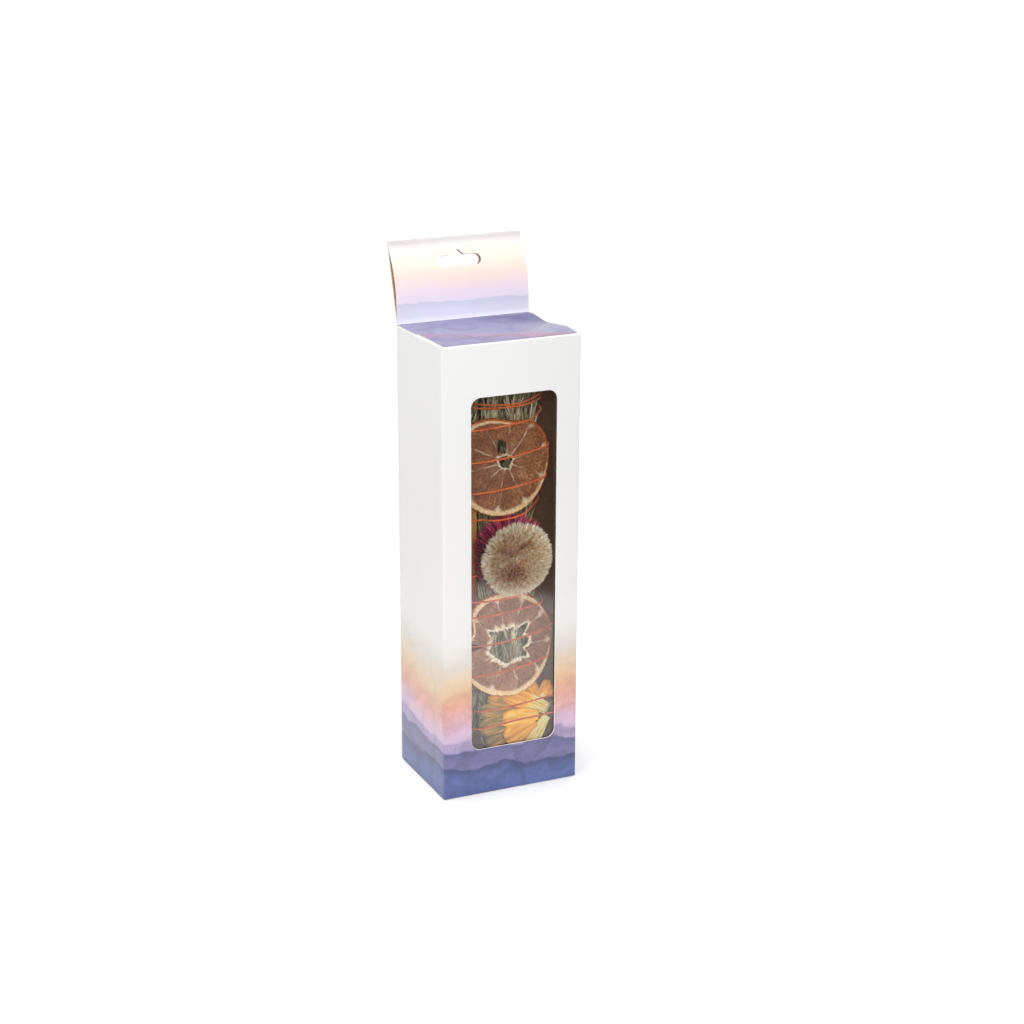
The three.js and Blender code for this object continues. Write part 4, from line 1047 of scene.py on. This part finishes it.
def build_strawflower(materials):
    """A dome of florets on a cushion, ringed by bracts that show at the top and left."""
    draw = random.Random(71)
    dome = MeshParts()
    rings, tints = [], []
    for step in range(13):
        share = 1 - step / 12
        height = DISC_HEIGHT * math.sqrt(max(0.0, 1 - share * share)) + 0.4 * MM
        rings.append([DISC_CENTRE + Vector((math.cos(a) * DISC_RADIUS * share * 0.94, -height,
                                            math.sin(a) * DISC_RADIUS * share * 0.94))
                      for a in (2 * math.pi * k / 48 for k in range(48))])
        tints.append(0.3)
    dome.rings(rings, tints)
    florets = MeshParts()
    for i in range(FLORETS):
        share = math.sqrt((i + 0.5) / FLORETS)
        angle = i * GOLDEN_ANGLE
        ring = Vector((math.cos(angle), 0, math.sin(angle)))
        flat = Vector((ring.x * share, ring.z * share, 0))
        height = DISC_HEIGHT * math.sqrt(max(0.0, 1 - share * share))
        root = DISC_CENTRE + ring * DISC_RADIUS * share * 0.92 + Vector((0, -height * 0.92, 0))
        clump = noise.noise(flat * 16)
        lean = ring * (0.2 + 1.05 * share ** 2) + Vector((0, -1.1 + 0.9 * share ** 3, 0))
        lean += Vector([noise.noise(flat * 13 + Vector((0, 0, 5.3 * k))) for k in range(3)]) * 0.55
        swirl = 0.5 * noise.noise(flat * 2.2 + Vector((0, 4, 0)))
        lean += Vector((math.sin(angle), 0, -math.cos(angle))) * swirl
        length = (1.9 + 1.2 * share ** 2 + 0.8 * draw.random() + 0.5 * clump) * MM
        tip = root + lean.normalized() * length
        patch = math.exp(-(((flat.x + 0.2) / 0.36) ** 2 + ((flat.y + 0.3) / 0.26) ** 2))
        arc_line = flat.y - 0.4 + 0.35 * flat.x * flat.x - 0.12 * math.sin(flat.x * 7)
        arc = math.exp(-(arc_line / 0.07) ** 2) * (1 - smoothstep(0.35, 0.6, abs(flat.x + 0.1)))
        pale = math.exp(-(((flat.x + 0.12) / 0.12) ** 2 + ((flat.y - 0.12) / 0.1) ** 2))
        pale += math.exp(-(((flat.x + 0.52) / 0.1) ** 2 + ((flat.y + 0.03) / 0.1) ** 2))
        brown = (0.55 * patch + 0.5 * arc) * draw.uniform(0.5, 1.25)
        tint = 0.56 - brown + 0.3 * pale + 0.3 * clump + draw.uniform(-0.2, 0.2)
        tint += 0.2 * smoothstep(0.7, 1.0, share)
        side = lean.cross(ring + Vector((0, 0.3, 0))).normalized()
        other = side.cross(lean.normalized())
        thick = draw.uniform(0.17, 0.29) * MM
        middle = root.lerp(tip, 0.6) + ring * 0.15 * MM
        rows = []
        for at, size in ((root, 1.0), (middle, 0.75), (tip, 0.15)):
            rows.append([at + (side * math.cos(a) + other * math.sin(a)) * thick * size
                         for a in (0, 2 * math.pi / 3, 4 * math.pi / 3)])
        florets.rings(rows, [tint - 0.6, tint - 0.08, tint + 0.26])
    head = florets.build("strawflower_florets", [materials["floret"]])
    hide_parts("strawflower_disc")
    under = dome.build("strawflower_cushion", [materials["floret"]])
    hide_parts("strawflower_disc")

    bracts = MeshParts()
    for i in range(BRACTS):
        angle = i * GOLDEN_ANGLE
        ring = Vector((math.cos(angle), 0, math.sin(angle)))
        across = Vector((-ring.z, 0, ring.x))
        to_top = dent_at((98, 48.7, 0), angle)
        to_corner = dent_at((140, 28.65, 0), angle)
        length = (draw.uniform(18.6, 21.4) + 3.0 * to_top + 2.6 * to_corner) * MM
        lift = draw.uniform(-0.5, 0.9) * MM
        root = BRACT_CENTRE + ring * 13 * MM + Vector((0, lift, 0))
        tip = BRACT_CENTRE + ring * length + Vector((0, lift + draw.uniform(-0.9, 0.6) * MM, 0))
        tip += across * draw.uniform(-1.0, 1.0) * MM
        width = draw.uniform(0.35, 0.7) * MM
        # Painted shade: bracts towards the left get a darker tint; those at the top a slightly lighter one
        left_shade = max(0.0, math.cos(angle - math.radians(185)))
        tint = draw.uniform(0.1, 0.95) - 0.5 * left_shade + 0.1 * to_top
        rows = []
        for share, size in ((0, 0.7), (0.55, 1.0), (0.85, 0.6), (1.0, 0.1)):
            at = root.lerp(tip, share)
            rows.append([at + across * width * size / 2, at + Vector((0, -0.16 * MM * size, 0)),
                         at - across * width * size / 2, at + Vector((0, 0.1 * MM * size, 0))])
        bracts.rings(rows, [tint - 0.3, tint, tint + 0.12, tint + 0.3])
    plate = []
    for share, depth in ((0.25, 3.2), (0.3, 0.9), (0.98, 0.9), (1.0, 0.55), (0.98, 0.2), (0.2, 0.1)):
        plate.append([BRACT_CENTRE + Vector((math.cos(a) * 15 * share, depth, math.sin(a) * 15 * share)) * MM
                      for a in (-2 * math.pi * k / 40 for k in range(40))])
    bracts.rings(plate, [0.2] * 6)
    collar = bracts.build("strawflower_collar", [materials["bract"]])
    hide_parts("strawflower_bracts")


# Marigold

def build_marigold(materials):
    """Broad ruffled petals that lie to the left of a base, the front ones on pale pleated claws."""
    draw = random.Random(19)
    parts = MeshParts()
    across, along_steps = 28, 18
    for number, (x, z, degrees, length, width, depth, claw, tone) in enumerate(MARIGOLD_PETALS):
        angle = math.radians(degrees)
        aim = Vector((math.cos(angle), 0, math.sin(angle)))
        side = Vector((-aim.z, 0, aim.x))
        phase = draw.uniform(0, 6)
        tilt = draw.uniform(-0.08, 0.08)
        first = len(parts.points)
        for r in range(along_steps + 1):
            share = r / along_steps
            flare = 0.62 + 0.38 * smoothstep(0, 0.55, share)
            half = width / 2 * flare * (1 - 0.35 * smoothstep(0.8, 1, share))
            in_claw = 1 - smoothstep(claw - 0.1, claw + 0.1, share) if claw else 0
            for c in range(across + 1):
                cross = c / across * 2 - 1
                wander = 0.8 * noise.noise(Vector((share * 3, cross, number)))
                fold = math.cos(cross * 6 * math.pi + phase + wander)
                ruffle = 1.5 * noise.noise(Vector((cross * 2.6 + phase, share * 2.6, number * 1.7)))
                ragged = 1.8 * noise.noise(Vector((cross * 3 + phase, number, 3)))
                ragged *= smoothstep(0.7, 1, share)
                forward = 0.42 * fold * (0.45 + in_claw) + ruffle * share + tilt * cross * half
                at = aim * (length * share + ragged) + side * cross * half
                y = -depth - min(max(forward, -1.0), 1.2) * 0.8
                parts.points.append(MARIGOLD_BASE + Vector((x + at.x, y, z + at.z)) * MM)
                edge = smoothstep(0.8, 1.0, max(abs(cross), share))
                ridge = 0.05 * math.cos(cross * 10 * math.pi + 2 * ruffle)
                # Painted light and shade: the tint is lighter where a ruffle bulges forward, and darker in
                # the troughs of the pleats, most of all on the claws
                tint = tone + (0.95 - tone) * in_claw + 0.16 * ruffle - 0.16 * edge + ridge
                parts.tints.append(tint - (0.16 + 0.75 * in_claw) * max(0.0, -fold) ** 4)
        for r in range(along_steps):
            for c in range(across):
                a = first + r * (across + 1) + c
                parts.faces.append((a, a + 1, a + across + 2, a + across + 1))
    petals = parts.build("marigold_florets", [materials["petal"]], sharp=80)
    solid = petals.modifiers.new("thickness", "SOLIDIFY")
    solid.thickness = 0.25 * MM
    solid.offset = 0
    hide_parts("marigold_head")

    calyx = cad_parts["marigold_calyx"]
    calyx.data.materials.clear()
    calyx.data.materials.append(materials["calyx"])
    smooth = calyx.modifiers.new("smooth", "SUBSURF")
    smooth.levels = smooth.render_levels = 2


# Thread

def thread_path():
    """The middle line of the CAD thread: the centres of its three-cornered rings, in order."""
    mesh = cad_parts["binding_thread"].data
    places, numbers = {}, []
    for vertex in mesh.vertices:
        key = tuple(round(c, 6) for c in vertex.co)
        numbers.append(places.setdefault(key, len(places)))
    points = [Vector(key) for key in places]
    near = [set() for _ in points]
    corners = []
    for polygon in mesh.polygons:
        ids = [numbers[i] for i in polygon.vertices]
        corners.append(ids)
        for i, a in enumerate(ids):
            near[a].add(ids[i - 1])
            near[ids[i - 1]].add(a)
    whole = (ids for ids in corners if len(set(ids)) == 3)
    ends = sorted(whole, key=lambda ids: sum(len(near[i]) for i in ids))
    ring = min(ends[:2], key=lambda ids: points[ids[0]].z)
    seen, path = set(ring), []
    while ring:
        path.append(sum((points[i] for i in ring), Vector()) / len(ring))
        ring = [i for i in sorted(set().union(*(near[i] for i in ring))) if i not in seen]
        seen.update(ring)
    return path


def build_thread(material):
    """Two cotton plies twisted together along the thread's route."""
    path = thread_path()
    samples = []
    for a, b in zip(path, path[1:]):
        count = max(1, round((b - a).length / THREAD_STEP))
        samples += [a.lerp(b, i / count) for i in range(count)]
    samples.append(path[-1])
    for _ in range(24):
        samples = ([samples[0]]
                   + [(p + q * 2 + r) / 4 for p, q, r in zip(samples, samples[1:], samples[2:])]
                   + [samples[-1]])
    parts = MeshParts()
    for ply in range(2):
        rings, tints = [], []
        twist = ply * math.pi
        for i, at in enumerate(samples):
            ahead, behind = samples[min(i + 1, len(samples) - 1)], samples[max(i - 1, 0)]
            along = (ahead - behind).normalized()
            side = along.cross(Vector((0, 0, 1))).normalized()
            up = side.cross(along)
            twist += THREAD_STEP / PLY_PITCH * 2 * math.pi
            middle = at + (side * math.cos(twist) + up * math.sin(twist)) * THREAD_RADIUS * 0.5
            rings.append([middle + (side * math.cos(a) + up * math.sin(a)) * THREAD_RADIUS * 0.62
                          for a in (2 * math.pi * k / 6 for k in range(6))])
            # Darker towards the bottom of the stick: below 125 mm, most of all below 85 mm
            darker_low = 0.22 * (1 - smoothstep(85 * MM, 125 * MM, at.z))
            tints.append(0.5 - darker_low + 0.35 * noise.noise(Vector((i * 0.11, ply * 7, 0))))
        parts.rings(rings, tints)
    thread = parts.build("cotton_thread", [material])
    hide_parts("binding_thread")


def build_wood(material):
    """The split stick keeps its own solid, with worn edges."""
    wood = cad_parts["palo_santo_stick"]
    wood.data.materials.clear()
    wood.data.materials.append(material)
    bevel = wood.modifiers.new("worn_edges", "BEVEL")
    bevel.width = 0.5 * MM
    bevel.segments = 2


# Light and floor

def build_studio():
    """A pale round table, a room dim in front and white behind, and three softboxes."""
    material, tree, shader, place = new_material("matt_white_table")
    grain = add_node(tree, "ShaderNodeTexNoise", {
        "Vector": place, "Scale": 1 / (2.5 * MM), "Detail": 3,
    }).outputs["Fac"]
    colour = add_node(tree, "ShaderNodeValToRGB", {"Fac": grain}, stops=((0.3, "#f6f6f6"), (0.7, "#fafafa")))
    tree.links.new(colour.outputs["Color"], shader.inputs["Base Color"])
    set_values(shader, Roughness=0.7)
    ring = [Vector((TABLE_RADIUS * math.cos(a), TABLE_RADIUS * math.sin(a), -0.4 * MM))
            for a in (2 * math.pi * k / 128 for k in range(128))]
    floor = make_object("table_top", ring, [tuple(range(128))], [material], None)

    world = bpy.data.worlds.new("studio")
    bpy.context.scene.world = world
    world.use_nodes = True
    tree = world.node_tree
    tree.nodes.clear()
    direction = add_node(tree, "ShaderNodeTexCoord").outputs["Generated"]
    parts = add_node(tree, "ShaderNodeSeparateXYZ", {0: direction})
    rise = add_node(tree, "ShaderNodeMapRange", {
        "Value": parts.outputs["Z"], "From Min": -0.15, "From Max": 0.35,
    }).outputs[0]
    front = add_node(tree, "ShaderNodeValToRGB", {"Fac": rise}, stops=(
        (0.0, "#505050"), (0.3, "#585858"), (0.6, "#e8e8e8"), (1.0, "#ffffff"),
    ))
    behind = add_node(tree, "ShaderNodeMapRange", {
        "Value": parts.outputs["Y"], "From Min": 0.0, "From Max": 0.6,
    }).outputs[0]
    walls = add_node(tree, "ShaderNodeMix", {
        0: behind, 6: front.outputs["Color"], 7: (1, 1, 1, 1),
    }, data_type="RGBA").outputs[2]
    strength = add_node(tree, "ShaderNodeMapRange", {
        "Value": behind, "To Min": ROOM_LIGHT, "To Max": BACK_LIGHT,
    }).outputs[0]
    room = add_node(tree, "ShaderNodeBackground", {"Color": walls, "Strength": strength})
    backdrop = add_node(tree, "ShaderNodeBackground", {
        "Color": (1, 1, 1, 1), "Strength": BACKDROP_LIGHT,
    })
    seen = add_node(tree, "ShaderNodeLightPath").outputs["Is Camera Ray"]
    mix = add_node(tree, "ShaderNodeMixShader", {0: seen, 1: room.outputs[0], 2: backdrop.outputs[0]})
    output = add_node(tree, "ShaderNodeOutputWorld")
    tree.links.new(mix.outputs[0], output.inputs["Surface"])
    bpy.context.scene.view_settings.view_transform = "Standard"

    for name, place, size, power, colour in SOFTBOXES:
        light = bpy.data.lights.new(name, "AREA")
        light.shape = "DISK"
        light.size = size
        light.energy = power
        light.color = colour
        lamp = bpy.data.objects.new(name, light)
        aim = CAMERA_AIM - Vector(place)
        lamp.matrix_world = Matrix.Translation(place) @ aim.to_track_quat("-Z", "Y").to_matrix().to_4x4()
        bpy.context.scene.collection.objects.link(lamp)


def build_all():
    """The camera and the studio, then the carton, then the stick from its sprigs outwards."""
    set_camera()
    build_studio()
    boards = carton_materials()
    build_walls(boards)
    build_dust_flaps(boards)
    build_hang_tab(boards)
    build_lid(boards)
    build_film()

    plant = {
        "needle": needle_material(), "bark": bark_material(), "floret": floret_material(),
        "bract": bract_material(), "petal": petal_material(), "calyx": calyx_material(),
    }
    for number, place in enumerate(sprig_places()):
        build_sprig(number, place, plant)
    orange = dried_orange_material()
    build_slice("orange_slice_upper", UPPER_SLICE, orange, 3)
    build_slice("orange_slice_lower", LOWER_SLICE, orange, 8)
    build_strawflower(plant)
    build_marigold(plant)
    build_thread(cotton_material())
    build_wood(wood_material())


build_all()
